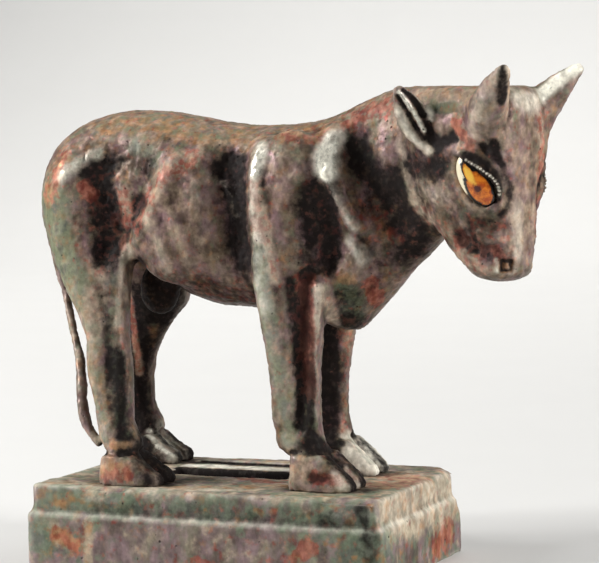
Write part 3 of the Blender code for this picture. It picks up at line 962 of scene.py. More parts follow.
@dataclass(frozen=True)
class HeadPose:
    """Where the head is and how it is turned: toward the right side, about a point in the neck."""

    turn: float = math.radians(18)
    pivot: float = 45.0

    @property
    def forward(self) -> Vector:
        """The way the face looks."""
        return Vector((math.cos(self.turn), -math.sin(self.turn), 0))

    @property
    def left(self) -> Vector:
        """The head's own left."""
        return Vector((math.sin(self.turn), math.cos(self.turn), 0))

    def point(self, ahead: float, out: float, height: float) -> Vector:
        """A place in grid steps, from its distances in the head's own directions."""
        return Vector((self.pivot, 0, height)) + self.forward * ahead + self.left * out

    def line(self, points: Line, side: int) -> list[Vector]:
        """Places in grid steps for a line on one side of the head.

        Args:
            points: Distances ahead, out to the side and up.
            side: Which side, -1 or 1.

        Returns:
            The places.
        """
        return [self.point(ahead, side * out, height) for ahead, out, height in points]

    def side_view(self, side: int) -> DrawingPlane:
        """The head seen from one of its own sides; strokes are ahead and height."""
        origin = Vector((self.pivot, 0, 0))
        facing = self.left * side
        return DrawingPlane(origin, self.forward, Z_AXIS, facing, start=4.0, stop=16.0, fade=1.5)

    def front_view(self) -> DrawingPlane:
        """The head seen from ahead; strokes are left and height."""
        origin = Vector((self.pivot, 0, 0))
        return DrawingPlane(origin, self.left, Z_AXIS, self.forward, start=40.0, stop=70.0, fade=4.0)


@dataclass(frozen=True)
class EyeSeat:
    """Where the inlaid eyes sit in the head, and their size in grid steps."""

    head: HeadPose = HeadPose()
    ahead: float = 44.6
    out: float = 11.9
    height: float = 90.0
    facing_ahead: float = 0.46
    facing_out: float = 0.888
    slope: float = math.radians(60)
    length: float = 8.2
    breadth: float = 4.6
    depth: float = 2.8

    def facing(self, side: int) -> Vector:
        """The way an eye looks."""
        return (
            self.head.forward * self.facing_ahead + self.head.left * side * self.facing_out
        ).normalized()

    def along(self, side: int) -> Vector:
        """The way from an eye's front corner to its rear corner."""
        level = self.facing(side).cross(Z_AXIS) * -side
        return level * math.cos(self.slope) + Z_AXIS * math.sin(self.slope)

    def lidward(self, side: int) -> Vector:
        """The way from an eye's middle to its upper lid."""
        return self.facing(side).cross(self.along(side)) * side

    def centre(self, side: int) -> Vector:
        """The middle of an eye."""
        return self.head.point(self.ahead, side * self.out, self.height)

    def view(self, side: int) -> DrawingPlane:
        """An eye seen from straight ahead of it; strokes are along and toward the lid."""
        along, lidward, facing = self.along(side), self.lidward(side), self.facing(side)
        return DrawingPlane(self.centre(side), along, lidward, facing, start=-5.5, stop=8.0)

    def arc(self, growth: float, start: float, end: float, count: int = 15) -> Line:
        """Places on an oval around the eye.

        Args:
            growth: How far outside the eye's edge it runs.
            start: Where it starts, in degrees from the rear corner toward the lid.
            end: Where it ends.
            count: How many places it has.

        Returns:
            Pairs of along and lidward.
        """
        spots = []
        for step in range(count):
            angle = math.radians(start + (end - start) * step / (count - 1))
            along = (self.length + growth) * math.cos(angle)
            lidward = (self.breadth + growth) * math.sin(angle)
            spots.append((along, lidward))
        return tuple(spots)


@dataclass
class EyeInlay:
    """One inlaid eye, a low polished oval."""

    side: int
    node: str
    seat: EyeSeat = field(default_factory=EyeSeat)

    def build(self) -> bpy.types.Object:
        """Model the eye and dress it."""
        along = self.seat.along(self.side)
        lidward = self.seat.lidward(self.side)
        facing = self.seat.facing(self.side)
        turn = Matrix((along, lidward, facing)).transposed().to_4x4()
        size = Matrix.Diagonal((self.seat.length, self.seat.breadth, self.seat.depth, 1))
        bm = bmesh.new()
        bmesh.ops.create_icosphere(bm, subdivisions=5, radius=1)
        along_layer = bm.verts.layers.float.new("eye_along")
        across_layer = bm.verts.layers.float.new("eye_across")
        for vert in bm.verts:
            vert[along_layer] = vert.co.x
            vert[across_layer] = vert.co.y
        place = GRID @ Matrix.Translation(self.seat.centre(self.side)) @ turn @ size
        bmesh.ops.transform(bm, matrix=place, verts=bm.verts)
        bmesh.ops.recalc_face_normals(bm, faces=bm.faces)
        mesh = bpy.data.meshes.new(self.node)
        bm.to_mesh(mesh)
        bm.free()
        mesh.shade_smooth()
        piece = link(self.node + "_dressed", mesh)
        mesh.materials.append(EyeFinish(self.node + "_finish").build())
        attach(piece, "root")
        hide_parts(self.node)
        return piece


# Strokes on both flanks, in distance ahead and height: hollows and the painted shade between the forms
FLANK_HOLLOWS = (
    drawn(((4.6, 94), (8.2, 82.6), (10.2, 66)), 9.0, -0.8, grime=1.0, pits=0.4),
    drawn(((34.6, 88), (33.3, 77), (31.8, 67)), 9.0, -0.6, grime=1.1, cuprite=0.22),
    drawn(((38.6, 100), (45.2, 95.4), (49.8, 91.1), (54.3, 86.8)), 7.5, -0.6, grime=1.1),
    drawn(((45.7, 80.9), (50.3, 76.7), (58, 72)), 8.0, grime=0.35, cuprite=0.3, ochre=0.2),
    drawn(((-38, 90), (-36, 79.5), (-33.5, 68)), 8.5, -0.5, grime=0.85, cuprite=0.3),
    drawn(((-36.5, 88), (-35.8, 79.5), (-34.4, 70)), 6.5, -0.2, pits=1.0, grime=0.2),
    drawn(((-41, 94.4), (-32.7, 95.8), (-22.8, 95.2)), 6.5, -0.4, grime=0.45, pits=1.0),
    drawn(((-23.7, 82.8), (-23.9, 76.0)), 4.6, -0.6, grime=0.7, cuprite=0.4),
    drawn(((25.2, 61), (25.6, 46.6), (25.7, 37)), 2.2, -0.5, grime=1.2),
    drawn(((28.5, 60), (29, 46.7), (29.3, 29.3)), 5.6, -0.4, grime=0.75, cuprite=0.8),
    drawn(((29.2, 33), (29.8, 23.5), (30.3, 12)), 5.6, -0.3, grime=1.1, verdigris=0.4),
    drawn(((37.1, 48), (36.8, 26)), 2.0, grime=1.2),
    drawn(
        ((-34, 71), (-31.8, 62), (-32.1, 53), (-32.2, 42), (-31, 33)), 4.4, -0.4, grime=0.38, verdigris=0.3
    ),
    drawn(((-24.2, 66), (-24.6, 54.8), (-24.6, 43)), 2.6, grime=1.3),
    drawn(((-29.4, 36), (-27.6, 25.2), (-26.6, 12)), 6.6, -0.2, grime=1.3, verdigris=0.5),
    drawn(((-23.5, 61.5), (-10.5, 57.5), (8.9, 55)), 8.0, grime=0.45, cuprite=0.35),
)

# Ridges and folds that catch the light, with painted highlights and pale crust laid on them
FLANK_RIDGES = (
    drawn(((15.6, 98.6), (15.4, 95.5), (15.0, 92.5)), 3.4, 0.6, crest=1.2),
    drawn(((14.6, 90), (14.4, 82.0), (16.6, 73)), 3.2, 0.6, cuprite=0.5, pale=0.6, crest=0.35),
    drawn(((15.6, 72), (16.4, 63), (18.0, 53)), 4.2, 0.4, pale=0.5, verdigris=0.8, crest=0.35),
    drawn(
        ((18.0, 53), (19.6, 44), (21.6, 33), (23.0, 24), (23.7, 14)),
        4.4, 0.4, pale=0.4, verdigris=0.6, crest=0.10
    ),
    drawn(((16.5, 86), (19.4, 72.5), (21.1, 60.9)), 2.4, 0.4, pale=0.6, cuprite=0.25, crest=0.12),
    drawn(((36.9, 101.0), (35.9, 97), (36.4, 92.5)), 4.8, 0.6, grime=-1.6, crest=1.9),
    drawn(((36.6, 92), (38.7, 85.6), (43.8, 75.9)), 2.4, 0.6, crest=0.35, pale=0.3),
    drawn(((41.9, 72.1), (44.3, 69.3), (45.5, 66.5)), 2.8, 0.6, crest=0.45),
    drawn(
        ((33.6, 58), (33.8, 46.8), (33.5, 29.4), (33.4, 17)), 3.0, 0.6, pale=1.3, crest=0.35, grime=-1.0
    ),
    drawn(((-28.2, 69), (-28.4, 58), (-29, 48)), 2.8, 0.5, pale=1.2, crest=0.35, grime=-0.9),
    drawn(((-37.5, 63), (-36.5, 52), (-37, 43)), 5.0, pale=0.6, cuprite=0.1, crest=0.1),
    drawn(((-47.5, 91.5), (-42.1, 95.3), (-38.5, 97.2)), 3.4, 0.45, crest=0.55, pale=0.4, verdigris=0.3),
    drawn(((-29.3, 86), (-28.5, 79.5), (-29.3, 71)), 3.6, 0.5, pale=0.5, cuprite=0.45),
    drawn(((-21.2, 79.9), (-18.3, 86.9), (-13.6, 93.4), (-6.4, 95.7)), 5.0, 0.4, pale=0.6, cuprite=0.4),
    drawn(((-18.9, 79.6), (-16.7, 72.2), (-14.3, 62.8)), 3.4, 0.35, pale=0.45, crest=0.08),
    drawn(((-12.6, 80.5), (-9.5, 72.3), (-6.4, 65.8)), 3.4, 0.3, pale=0.3),
)

# Crusts that don't follow the relief, with a few small painted highlights
FLANK_CRUSTS = (
    drawn(((-49.5, 97), (-51, 91.4), (-53, 85)), 5.0, ochre=0.7, cuprite=0.5),
    drawn(((-36.8, 106), (-25.7, 108), (-18, 107.5)), 7.0, ochre=0.45, verdigris=0.35, pale=0.3),
    drawn(((-16, 106), (-4, 103.5), (10, 102.5)), 6.5, pale=0.4, ochre=0.3, verdigris=0.25),
    drawn(((-41.6, 88.0), (-39.4, 85.5)), 2.8, cuprite=1.3, grime=-0.5),
    drawn(((-25.6, 101), (-22.7, 98.7), (-19.4, 96.4)), 4.4, verdigris=0.5, crest=0.15),
    drawn(((2.5, 89), (5.6, 84.1), (6.8, 79)), 1.6, 0.2, pits=0.9, crest=0.3),
    drawn(((-55, 88), (-54, 74), (-50.3, 67.4), (-45.8, 56.9)), 8.5, verdigris=0.95, pale=0.15),
    drawn(((-48.5, 84), (-47, 72), (-43, 60)), 7.0, pale=0.3, verdigris=0.65, grime=-0.4),
    drawn(
        ((-44.5, 56), (-39.6, 45.5), (-38.4, 35), (-37.3, 24.6), (-35.2, 12)),
        5.4, pale=0.6, verdigris=0.35, ochre=0.2, crest=0.08
    ),
    drawn(((-29.0, 44), (-27.5, 38)), 3.4, pale=0.4, cuprite=0.2),
    drawn(((22.5, 103), (28.8, 103.5), (34.4, 103)), 5.5, ochre=0.6, cuprite=0.5),
    drawn(((41.8, 98.9), (44.8, 95.6)), 4.0, verdigris=0.6),
    drawn(((39.7, 107), (49, 110.3), (56.7, 111.9)), 5.5, cuprite=0.55, pale=0.35),
    drawn(((24.8, 95), (25.4, 86), (27, 78)), 6.0, pale=0.25, cuprite=-0.1),
    drawn(((-5.1, 82.6), (-2, 72.3), (1.5, 64)), 6.0, pale=0.15, cuprite=-0.1),
    drawn(((-14, 80), (-8, 72), (0, 64)), 14.0, ochre=-0.12, verdigris=-0.15),
)

# Crusts and painted shade on the brisket, in distance across and height from its middle
BRISKET_CRUSTS = (
    drawn(((-13.4, 2.0), (-11.6, -1.5), (-11.4, -7.5)), 5.0, verdigris=1.3, grime=0.5),
    drawn(((-6.4, 3.4), (-4.2, -1.2)), 4.2, cuprite=1.2, ochre=0.3),
    drawn(((-14.6, 5.6), (-11.8, 4.6)), 2.4, ochre=1.0),
    drawn(((-13.7, -8.2), (-8, -9)), 4.5, grime=0.9, cuprite=0.5),
    drawn(((5.3, 21), (8, 16), (4, 12)), 8.0, grime=0.85),
)

# Strokes on both sides of the head, in distance ahead of the neck's pivot and height: painted shade in
# hollows, at the mouth and under the horn, painted highlights, and crusts
SIDE_OF_HEAD_STROKES = (
    drawn(
        ((38.5, 73.5), (46, 70.6), (50.8, 69.6), (55.3, 71)), 4.6, -0.8, grime=0.68, cuprite=0.5, pits=0.5
    ),
    drawn(((42.5, 77.5), (50, 76.4), (56.4, 77.2)), 3.8, -0.4, grime=0.42, cuprite=0.3, pits=0.6),
    drawn(((49.6, 73.2), (55.3, 73.4)), 1.5, 0.3, pale=0.8, cuprite=0.3),
    drawn(((36.0, 69.0), (43.1, 65), (50, 63.3)), 3.4, 0.3, pale=0.6, cuprite=0.3),
    drawn(((25.4, 88), (30, 85.4), (34.3, 86)), 4.6, 0.3, pale=0.35, crest=0.10),
    drawn(((22.4, 94.5), (27, 92.7), (33, 94.1)), 6.5, -0.4, grime=0.62, cuprite=0.15),
    drawn(((49, 84), (53.5, 77)), 5.0, grime=0.3, cuprite=0.15),
    drawn(((22, 81.3), (29.1, 77.2), (36.2, 73.2)), 5.0, pale=0.45, cuprite=0.3),
    drawn(((14.8, 92), (16.6, 82.7), (20.5, 76)), 3.6, -0.3, grime=0.8),
    drawn(((17.6, 99), (19.2, 92.6), (19.8, 86.9), (22, 82), (26, 78.4)), 3.2, 0.2, pale=0.6, crest=0.14),
    drawn(((27.8, 106.2), (30, 102.3), (34, 100.6), (38, 101.9)), 3.4, -0.5, grime=0.95),
    drawn(((39.6, 105.8), (41.9, 102.5), (44.3, 99.3)), 2.8, 0.2, cuprite=0.75, pale=0.45, ochre=0.3),
    drawn(((24.4, 113.6), (33.3, 114.1), (42.1, 112.6)), 4.5, pale=0.75, ochre=0.15),
    drawn(((31.0, 110.6), (37.6, 110.1)), 3.2, verdigris=0.8),
    drawn(((28.2, 110.1), (30.3, 107.4)), 2.0, 0.2, crest=0.6),
    drawn(((51.2, 100.2), (52.6, 95.0)), 2.2, -0.6, grime=1.3),
)

# Strokes on the front of the head, in distance to its left and height: pale crust, with painted highlights
# on the poll and the nose
FRONT_OF_HEAD_STROKES = (
    drawn(((-9, 108), (-8, 92), (-5, 76)), 6.0, pale=0.22, ochre=-0.05),
    drawn(((9, 108), (8, 92), (5, 76)), 6.0, pale=0.3, cuprite=0.2),
    drawn(((0, 106), (0, 92), (0, 70)), 7.0, pale=0.24, verdigris=-0.15, ochre=-0.05),
    drawn(((-3, 113), (0, 111), (4, 112)), 5.0, crest=0.5, pale=0.5),
    drawn(((-3.5, 83), (-3, 76), (-3.5, 69)), 3.2, crest=0.24, pale=0.3),
    drawn(((5, 106), (6.5, 98), (6, 90)), 3.4, cuprite=0.3, pale=0.25, ochre=0.15),
)


@dataclass(frozen=True)
class Hoof:
    """One cloven hoof that stands on the plinth, in grid steps.

    Attributes:
        across: The hoof's middle across the figure.
        heel: Its rear end.
        toe: Its front end.
        height: Its height.
        claw_across: How far each claw's middle is from the hoof's.
        claw_half_width: Half of a claw's width.
        squareness: How boxy a claw's shape is seen from above; 2 is an oval.
    """

    across: float
    heel: float
    toe: float
    height: float
    claw_across: float = 3.9
    claw_half_width: float = 4.3
    squareness: float = 3.2

    def profile(self) -> tuple[tuple[float, float, float, float], ...]:
        """Heights, each with the heel, the toe and how much narrower the claw is there."""
        heel, toe, height = self.heel, self.toe, self.height
        return (
            (-0.2, heel + 0.2, toe - 0.3, 0.1),
            (1.2, heel, toe, 0.0),
            (2.8, heel + 0.1, toe - 1.0, 0.0),
            (height * 0.5, heel + 0.4, toe - 4.0, 0.1),
            (height * 0.8, heel + 0.8, toe - 7.6, 0.5),
            (height * 0.94, heel + 1.4, toe - 9.4, 0.9),
            (height, heel + 2.8, toe - 10.8, 1.8),
        )

    def rings(self, side: int, points: int = 48) -> list[list[Vector]]:
        """One claw's outlines, from the sole up.

        Args:
            side: Which claw, -1 or 1.
            points: How many points each outline has.

        Returns:
            A ring of places for each height.
        """
        rings = []
        middle = self.across + side * self.claw_across
        power = 2 / self.squareness
        for height, heel, toe, narrowing in self.profile():
            half_length = (toe - heel) / 2
            half_width = self.claw_half_width - narrowing
            ring = []
            for step in range(points):
                angle = 2 * math.pi * step / points
                ahead = math.copysign(abs(math.cos(angle)) ** power, math.cos(angle))
                out = math.copysign(abs(math.sin(angle)) ** power, math.sin(angle))
                ring.append(Vector((heel + half_length * (1 + ahead), middle + half_width * out, height)))
            rings.append(ring)
        return rings

    def crease(self, pieces: int = 16) -> Line:
        """Where the leg meets the hoof, as a closed oval in space.

        Args:
            pieces: How many straight pieces the oval has.

        Returns:
            Its places.
        """
        middle = (self.heel + self.toe - 8.8) / 2
        half_length = (self.toe - self.heel - 9.0) / 2
        half_width = 2 * self.claw_across
        places = []
        for step in range(pieces + 1):
            angle = 2 * math.pi * step / pieces
            ahead = middle + half_length * math.cos(angle)
            across = self.across + half_width * math.sin(angle)
            places.append((ahead, across, self.height - 0.2))
        return tuple(places)


def beside(line: list[Vector], sizes: list[float], way: Vector) -> Line:
    """A line moved onto the surface of the round form that it is the middle of.

    Args:
        line: The form's middle line.
        sizes: Its half thickness at each place.
        way: The direction in which the line is moved.

    Returns:
        The moved places.
    """
    return tuple(tuple(point + way * size) for point, size in zip(line, sizes))


@dataclass
class Bull:
    """The bull, one casting, carved finer than the solid and coated with its patina.

    Attributes:
        head: How the head is turned.
        seat: Where the eyes sit.
        rough_voxel: Size of the faces while the solid's facets are eased away, in metres.
        rough_steps: How often they are eased.
        fine_voxel: Size of the faces of the carved skin, in metres.
        fine_steps: How often it is eased.
        triangles: The most that the finished skin has, without its beads.
        hidden_share: How thick the flank's coats are on the side that isn't shown.
        leg_top: Below this height lie the legs.
        relief_steps: How far around a place its hollows and crests are judged.
        crusts: Each crust, what an upward face gets more of it, and what every place gets.
    """

    head: HeadPose = field(default_factory=HeadPose)
    seat: EyeSeat = field(default_factory=EyeSeat)
    rough_voxel: float = 0.0006
    rough_steps: int = 22
    fine_voxel: float = 0.0005
    fine_steps: int = 2
    triangles: int = 178000
    horn_line: Line = ((45.5, 9.5, 103.0), (48.8, 12.2, 109.0), (53.8, 15.0, 115.5), (59.5, 17.9, 121.2))
    horn_sizes: Line = ((5.4, 5.4), (5.7, 5.5), (4.0, 3.8), (1.1, 1.0))
    ear_line: Line = ((30.0, 11.0, 99.5), (26.4, 15.2, 105.5), (25.4, 18.8, 111.0), (24.6, 22.0, 116.2))
    ear_sizes: Line = ((3.4, 2.2), (5.0, 2.0), (4.2, 1.6), (1.0, 0.8))
    lid_line: Line = (
        (9.3, -1.0, 0.3),
        (6.2, 0.6, 1.2),
        (3.7, 2.1, 1.7),
        (1.0, 3.4, 1.8),
        (-2.0, 4.6, 1.6),
        (-4.9, 4.7, 1.2),
        (-7.6, 3.0, 0.7),
        (-9.3, 0.6, 0.1),
    )
    lid_sizes: tuple[float, ...] = (0.5, 0.9, 1.1, 1.15, 1.15, 1.1, 0.9, 0.5)
    fold_line: Line = (
        (7.4, 1.4, 0.2),
        (5.4, 3.0, 0.7),
        (2.0, 4.8, 0.9),
        (-2.6, 6.2, 0.7),
        (-6.6, 5.0, 0.1),
    )
    fold_sizes: tuple[float, ...] = (0.5, 1.3, 1.3, 1.3, 0.5)
    bead_size: float = 0.44
    bead_lift: float = 0.95
    tail_line: Line = (
        (-56.5, -0.5, 97),
        (-61.8, -1.0, 89),
        (-64.4, -1.6, 79),
        (-62.6, -2.6, 69),
        (-60.0, -3.4, 60.5),
        (-57.3, -4.5, 53.2),
        (-53.6, -8.0, 44.3),
        (-48.6, -13.0, 35.0),
        (-46.0, -17.0, 28.0),
        (-45.2, -18.5, 22.5),
        (-43.2, -20.0, 16.5),
        (-38.0, -21.0, 10.4),
    )
    tail_sizes: tuple[float, ...] = (1.8, 1.7, 1.5, 1.3, 1.2, 1.2, 1.2, 1.4, 1.7, 1.8, 1.6, 1.1)
    hidden_share: float = 0.5
    leg_top: float = 60.0
    relief_steps: int = 24
    crusts: tuple[tuple[Coat, float, float], ...] = (
        (Coat.PALE, 0.42, 0.18),
        (Coat.OCHRE, 0.24, 0.13),
        (Coat.VERDIGRIS, 0.30, 0.18),
        (Coat.CUPRITE, 0.12, 0.16),
        (Coat.PITS, 0.0, 0.40),
    )
    near_front: Hoof = Hoof(-15.5, 22.9, 43.6, 11.2)
    far_front: Hoof = Hoof(15.5, 17.7, 38.4, 11.2)
    near_rear: Hoof = Hoof(-21.5, -35.8, -15.6, 9.4)
    far_rear: Hoof = Hoof(21.5, -50.2, -30.2, 9.4)

    @property
    def hooves(self) -> tuple[Hoof, ...]:
        """All four hooves."""
        return (self.near_front, self.far_front, self.near_rear, self.far_rear)

    def ear_way(self, side: int) -> Vector:
        """The direction of an ear's width."""
        return self.head.forward * 0.75 - self.head.left * side * 0.66

    def ear_view(self, side: int) -> DrawingPlane:
        """An ear seen from ahead of it; strokes are across and up the leaf."""
        root, *_, tip = self.head.line(self.ear_line, side)
        run = (tip - root).normalized()
        way = self.ear_way(side)
        across = (way - run * way.dot(run)).normalized()
        facing = run.cross(across) * side
        return DrawingPlane(root, across, run, facing, start=-1.5, stop=6.0, fade=1.0)

    def flank_view(self, side: int) -> DrawingPlane:
        """The figure seen from one side; strokes are ahead and height."""
        return DrawingPlane(Vector(), X_AXIS, Z_AXIS, Y_AXIS * side, start=4.0, fade=6.0)

    def rough_form(self) -> bpy.types.Mesh:
        """The solid's form with its flat facets eased away."""
        return melted(merged_copy("bull"), self.rough_voxel, self.rough_steps)

    def eye_place(self, side: int, spot: tuple[float, float, float]) -> Vector:
        """A place by an eye, from its distances along the eye, toward the lid and out."""
        seat = self.seat
        along, lidward, facing = seat.along(side), seat.lidward(side), seat.facing(side)
        return seat.centre(side) + along * spot[0] + lidward * spot[1] + facing * spot[2]

    def add_lids(self, bm: bmesh.types.BMesh, side: int) -> None:
        """The upper lid over an eye: the edge that carries the beads, and the fold above it.

        Args:
            bm: Where the lid goes.
            side: Which eye, -1 or 1.
        """
        for line, sizes in ((self.lid_line, self.lid_sizes), (self.fold_line, self.fold_sizes)):
            places = [self.eye_place(side, spot) for spot in line]
            radii = [(size, size) for size in sizes]
            add_rope(bm, places, radii, self.seat.facing(side), round_sides=12)

    def add_trimmings(self, mesh: bpy.types.Mesh) -> None:
        """Give the eased form its full horns, ears, lids, tail and hooves again.

        Args:
            mesh: The eased form in metres.
        """
        bm = bmesh.new()
        for side in SIDES:
            horn = self.head.line(self.horn_line, side)
            add_rope(bm, horn, list(self.horn_sizes), self.head.forward)
            ear = self.head.line(self.ear_line, side)
            add_rope(bm, ear, list(self.ear_sizes), self.ear_way(side))
            self.add_lids(bm, side)
        tail = [Vector(point) for point in self.tail_line]
        radii = [(size, size) for size in self.tail_sizes]
        add_rope(bm, tail, radii, Y_AXIS)
        for hoof in self.hooves:
            for side in SIDES:
                skin_rings(bm, hoof.rings(side))
        bmesh.ops.transform(bm, matrix=GRID, verts=bm.verts)
        bm.from_mesh(mesh)
        bmesh.ops.recalc_face_normals(bm, faces=bm.faces)
        bm.to_mesh(mesh)
        bm.free()

    def bead_spots(self, side: int) -> list[Vector]:
        """Where the beads sit, along the crest of the lid's edge."""
        line = [self.eye_place(side, spot) for spot in self.lid_line]
        rows = smooth_path(line, [(size, size) for size in self.lid_sizes], 3)
        facing = self.seat.facing(side)
        return [place + facing * size[0] * self.bead_lift for place, size in rows[3:-4]]
    # Where the beads sit, along the top of the lid's edge.

    def add_beads(self, mesh: bpy.types.Mesh) -> None:
        """Set the small beads on the lids.

        Args:
            mesh: The finished skin in metres.
        """
        bm = bmesh.new()
        bm.from_mesh(mesh)
        for side in SIDES:
            for spot in self.bead_spots(side):
                place = Matrix.Translation(spot * STEP + Z_AXIS * SOLE_HEIGHT)
                radius = self.bead_size * STEP
                bmesh.ops.create_icosphere(bm, subdivisions=2, radius=radius, matrix=place)
        bm.to_mesh(mesh)
        bm.free()

    def eye_strokes(self, side: int) -> tuple[Stroke, ...]:
        """Painted shade along the lid's fold, edge and underside and above the eye, a pale lower rim, and
        painted highlights on the beads.
        """
        seat = self.seat
        edge = tuple((along, lidward) for along, lidward, _ in self.lid_line[1:-1])
        under = tuple((along, lidward - 1.2) for along, lidward in edge)
        fold = tuple((along, lidward) for along, lidward, _ in self.fold_line)
        strokes = [
            drawn(fold, 2.0, grime=1.1),
            drawn(edge, 1.3, grime=0.8),
            drawn(under, 0.8, grime=1.2),
            drawn(seat.arc(1.0, 200, 340), 1.2, pale=0.5, ochre=0.3),
            drawn(seat.arc(3.6, 60, 175), 1.8, -0.4, grime=0.6),
        ]
        view = seat.view(side)
        for spot in self.bead_spots(side):
            at = tuple(view.flat(np.array([spot]))[0])
            strokes.append(drawn((at, at), 0.7, grime=-1.2, crest=0.8))
        return tuple(strokes)

    def ear_strokes(self) -> tuple[Stroke, ...]:
        """Painted shade, black, down the ear's leaf and its groove and at its root, with painted
        highlights on the ridge between them, on a pale lobe and on the outer rim.
        """
        return (
            drawn(((1.8, 10.0), (1.9, 15.0), (1.2, 18.6)), 1.7, -1.0, grime=1.5),
            drawn(((-2.2, 4.5), (-1.8, 10.7), (-1.5, 15.0), (-1.0, 18.4)), 1.2, -0.8, grime=1.5),
            drawn(((-0.3, 6.0), (0.1, 11.4), (0.0, 15.5), (-0.2, 19.2)), 1.0, 0.3, grime=-1.0, crest=1.4),
            drawn(
                ((-2.6, 1.0), (-4.0, 5.0), (-4.2, 9.0), (-3.2, 14.5)),
                2.4, 0.3, pale=1.4, crest=0.65, grime=-1.0
            ),
            drawn(((3.9, 9.0), (4.4, 13.0), (3.4, 17.5)), 1.4, 0.3, grime=-0.6, pale=0.6, crest=0.6),
            drawn(((-0.6, -1.0), (0.5, 3.5), (1.2, 8.0)), 1.8, grime=0.8),
        )

    def nostril_view(self, side: int) -> DrawingPlane:
        """A nostril seen from straight ahead of it; strokes are forward and height."""
        facing = (self.head.forward * 0.72 + self.head.left * side * 0.69).normalized()
        across = facing.cross(Z_AXIS) * side
        middle = self.head.point(50.7, side * 6.6, 65.9)
        return DrawingPlane(middle, across, Z_AXIS, facing, start=-4.0, stop=5.0, fade=1.5)

    def nostril_strokes(self) -> tuple[Stroke, ...]:
        """A squared ring pressed in and darkened with painted shade, a brown middle, and a pale rim behind
        with a painted highlight.
        """
        half = 1.35
        ring = ((-half, -half), (half, -half), (half, half), (-half, half), (-half, -half))
        return (
            drawn(ring, 1.0, -0.6, grime=0.62, ochre=0.8),
            drawn(((-0.1, 0.0), (0.1, 0.0)), 1.0, 0.1, ochre=1.3, grime=0.15),
            drawn(((-2.9, 1.8), (-2.9, -1.4)), 1.1, 0.3, pale=1.0, crest=0.4),
        )

    def hoof_strokes(self) -> tuple[Stroke, ...]:
        """For each hoof a crease under the pastern and a cleft in front, pressed in and darkened with
        painted shade; and a pale painted highlight on the outer claw of the left front hoof.
        """
        strokes = []
        for hoof in self.hooves:
            strokes.append(drawn(hoof.crease(), 1.5, -0.5, grime=0.9))
            cleft = ((hoof.toe - 9, hoof.across, hoof.height), (hoof.toe - 0.2, hoof.across, 1.0))
            strokes.append(drawn(cleft, 1.7, -0.8, grime=1.3))
        hoof = self.far_front
        outer = hoof.across + hoof.claw_across - 1.4
        crest = ((hoof.toe - 9.0, outer, 8.2), (hoof.toe - 2.0, outer, 4.2))
        strokes.append(drawn(crest, 3.6, grime=-3.0, pale=0.7, cuprite=0.25, crest=0.4))
        return tuple(strokes)

    def hoof_side_strokes(self, side: int) -> tuple[Stroke, ...]:
        """The coats on the outer sides of one side's two hooves, with painted shade on the rear toe and in
        the rear crease and a painted highlight on the front toe; strokes are ahead and height.
        """
        front = self.near_front if side < 0 else self.far_front
        rear = self.near_rear if side < 0 else self.far_rear
        painted_shade = {"grime": 1.0}
        orange = {"ochre": 1.0, "grime": -0.6}
        return (
            drawn(((front.heel + 2.5, 4.5), (front.heel + 6.5, 5.5)), 5.0, pale=0.9),
            drawn(((front.heel + 9.5, 4.0), (front.toe - 4.3, 3.7)), 3.0, -0.6, cuprite=1.0, grime=0.7),
            drawn(
                ((front.toe - 2.0, 1.0), (front.toe - 4.5, 5.0)), 2.4, 0.2, grime=-1.2, pale=1.0, crest=0.4
            ),
            drawn(((front.heel + 4, 9.8), (front.toe - 9, 9.6)), 1.6, pale=0.6, grime=-0.5),
            drawn(((rear.heel + 2, 5.0), (rear.heel + 10, 5.0)), 5.5, pale=0.6, ochre=0.6),
            drawn(((rear.heel + 3, 3.0), (rear.heel + 11, 3.0)), 3.5, cuprite=0.6),
            drawn(((rear.toe - 5.0, 7), (rear.toe - 2.5, 2)), 5.0, **painted_shade),
            drawn(((rear.heel + 7.5, 8.9), (rear.toe - 7.0, 9.1)), 1.2, -0.4, **painted_shade),
            drawn(((rear.heel + 5, 11.4), (rear.heel + 12.5, 11.9)), 2.0, 0.3, **orange),
        )

    def slope_strokes(self) -> tuple[Stroke, ...]:
        """Painted shadow on the hooves' front slopes, and a painted highlight on the one lit slope;
        strokes are across and height.
        """
        strokes = []
        shade_and_dirt_cover = {"grime": 1.3}
        lit_coats = {"grime": -2.5, "pale": 0.8, "verdigris": 0.4, "crest": 0.9}
        for hoof in self.hooves:
            coats, top = (lit_coats, hoof.height - 2) if hoof is self.far_front else (shade_and_dirt_cover, hoof.height + 1)
            for side in SIDES:
                middle = hoof.across + side * hoof.claw_across + 0.8
                strokes.append(drawn(((middle, top), (middle, 1.5)), 5.0, **coats))
        return tuple(strokes)

    def far_hoof_strokes(self) -> tuple[Stroke, ...]:
        """The coats on the inner sides of the two left hooves, in side view, among them painted highlights
        and glints.
        """
        front, rear = self.far_front, self.far_rear
        red = {"grime": -1.4, "cuprite": 0.6, "pale": 0.6, "ochre": 0.2}
        green = {"grime": -0.7, "ochre": 0.5, "verdigris": 0.5}
        bright = {"grime": -1.4, "pale": 0.8, "crest": 0.7}
        spark = {"grime": -1.6, "crest": 1.2}
        return (
            drawn(((front.toe - 7.5, 6.5), (front.toe - 1.5, 3.0)), 4.8, **bright),
            drawn(((29.6, 44), (29.7, 31.7), (28.9, 22.7), (28.5, 14)), 3.8, **red),
            drawn(((-43.5, 57), (-43.7, 44.7), (-43.4, 28)), 1.8, **red),
            drawn(((-37.0, 42), (-39.2, 24.3), (-39.1, 14)), 3.0, **green),
            drawn(((rear.toe - 10.5, 9.6), (rear.toe - 8.5, 8.2)), 1.5, **spark),
            drawn(((rear.toe - 6.5, 5.4), (rear.toe - 1.2, 2.5)), 0.9, 0.2, **spark),
        )

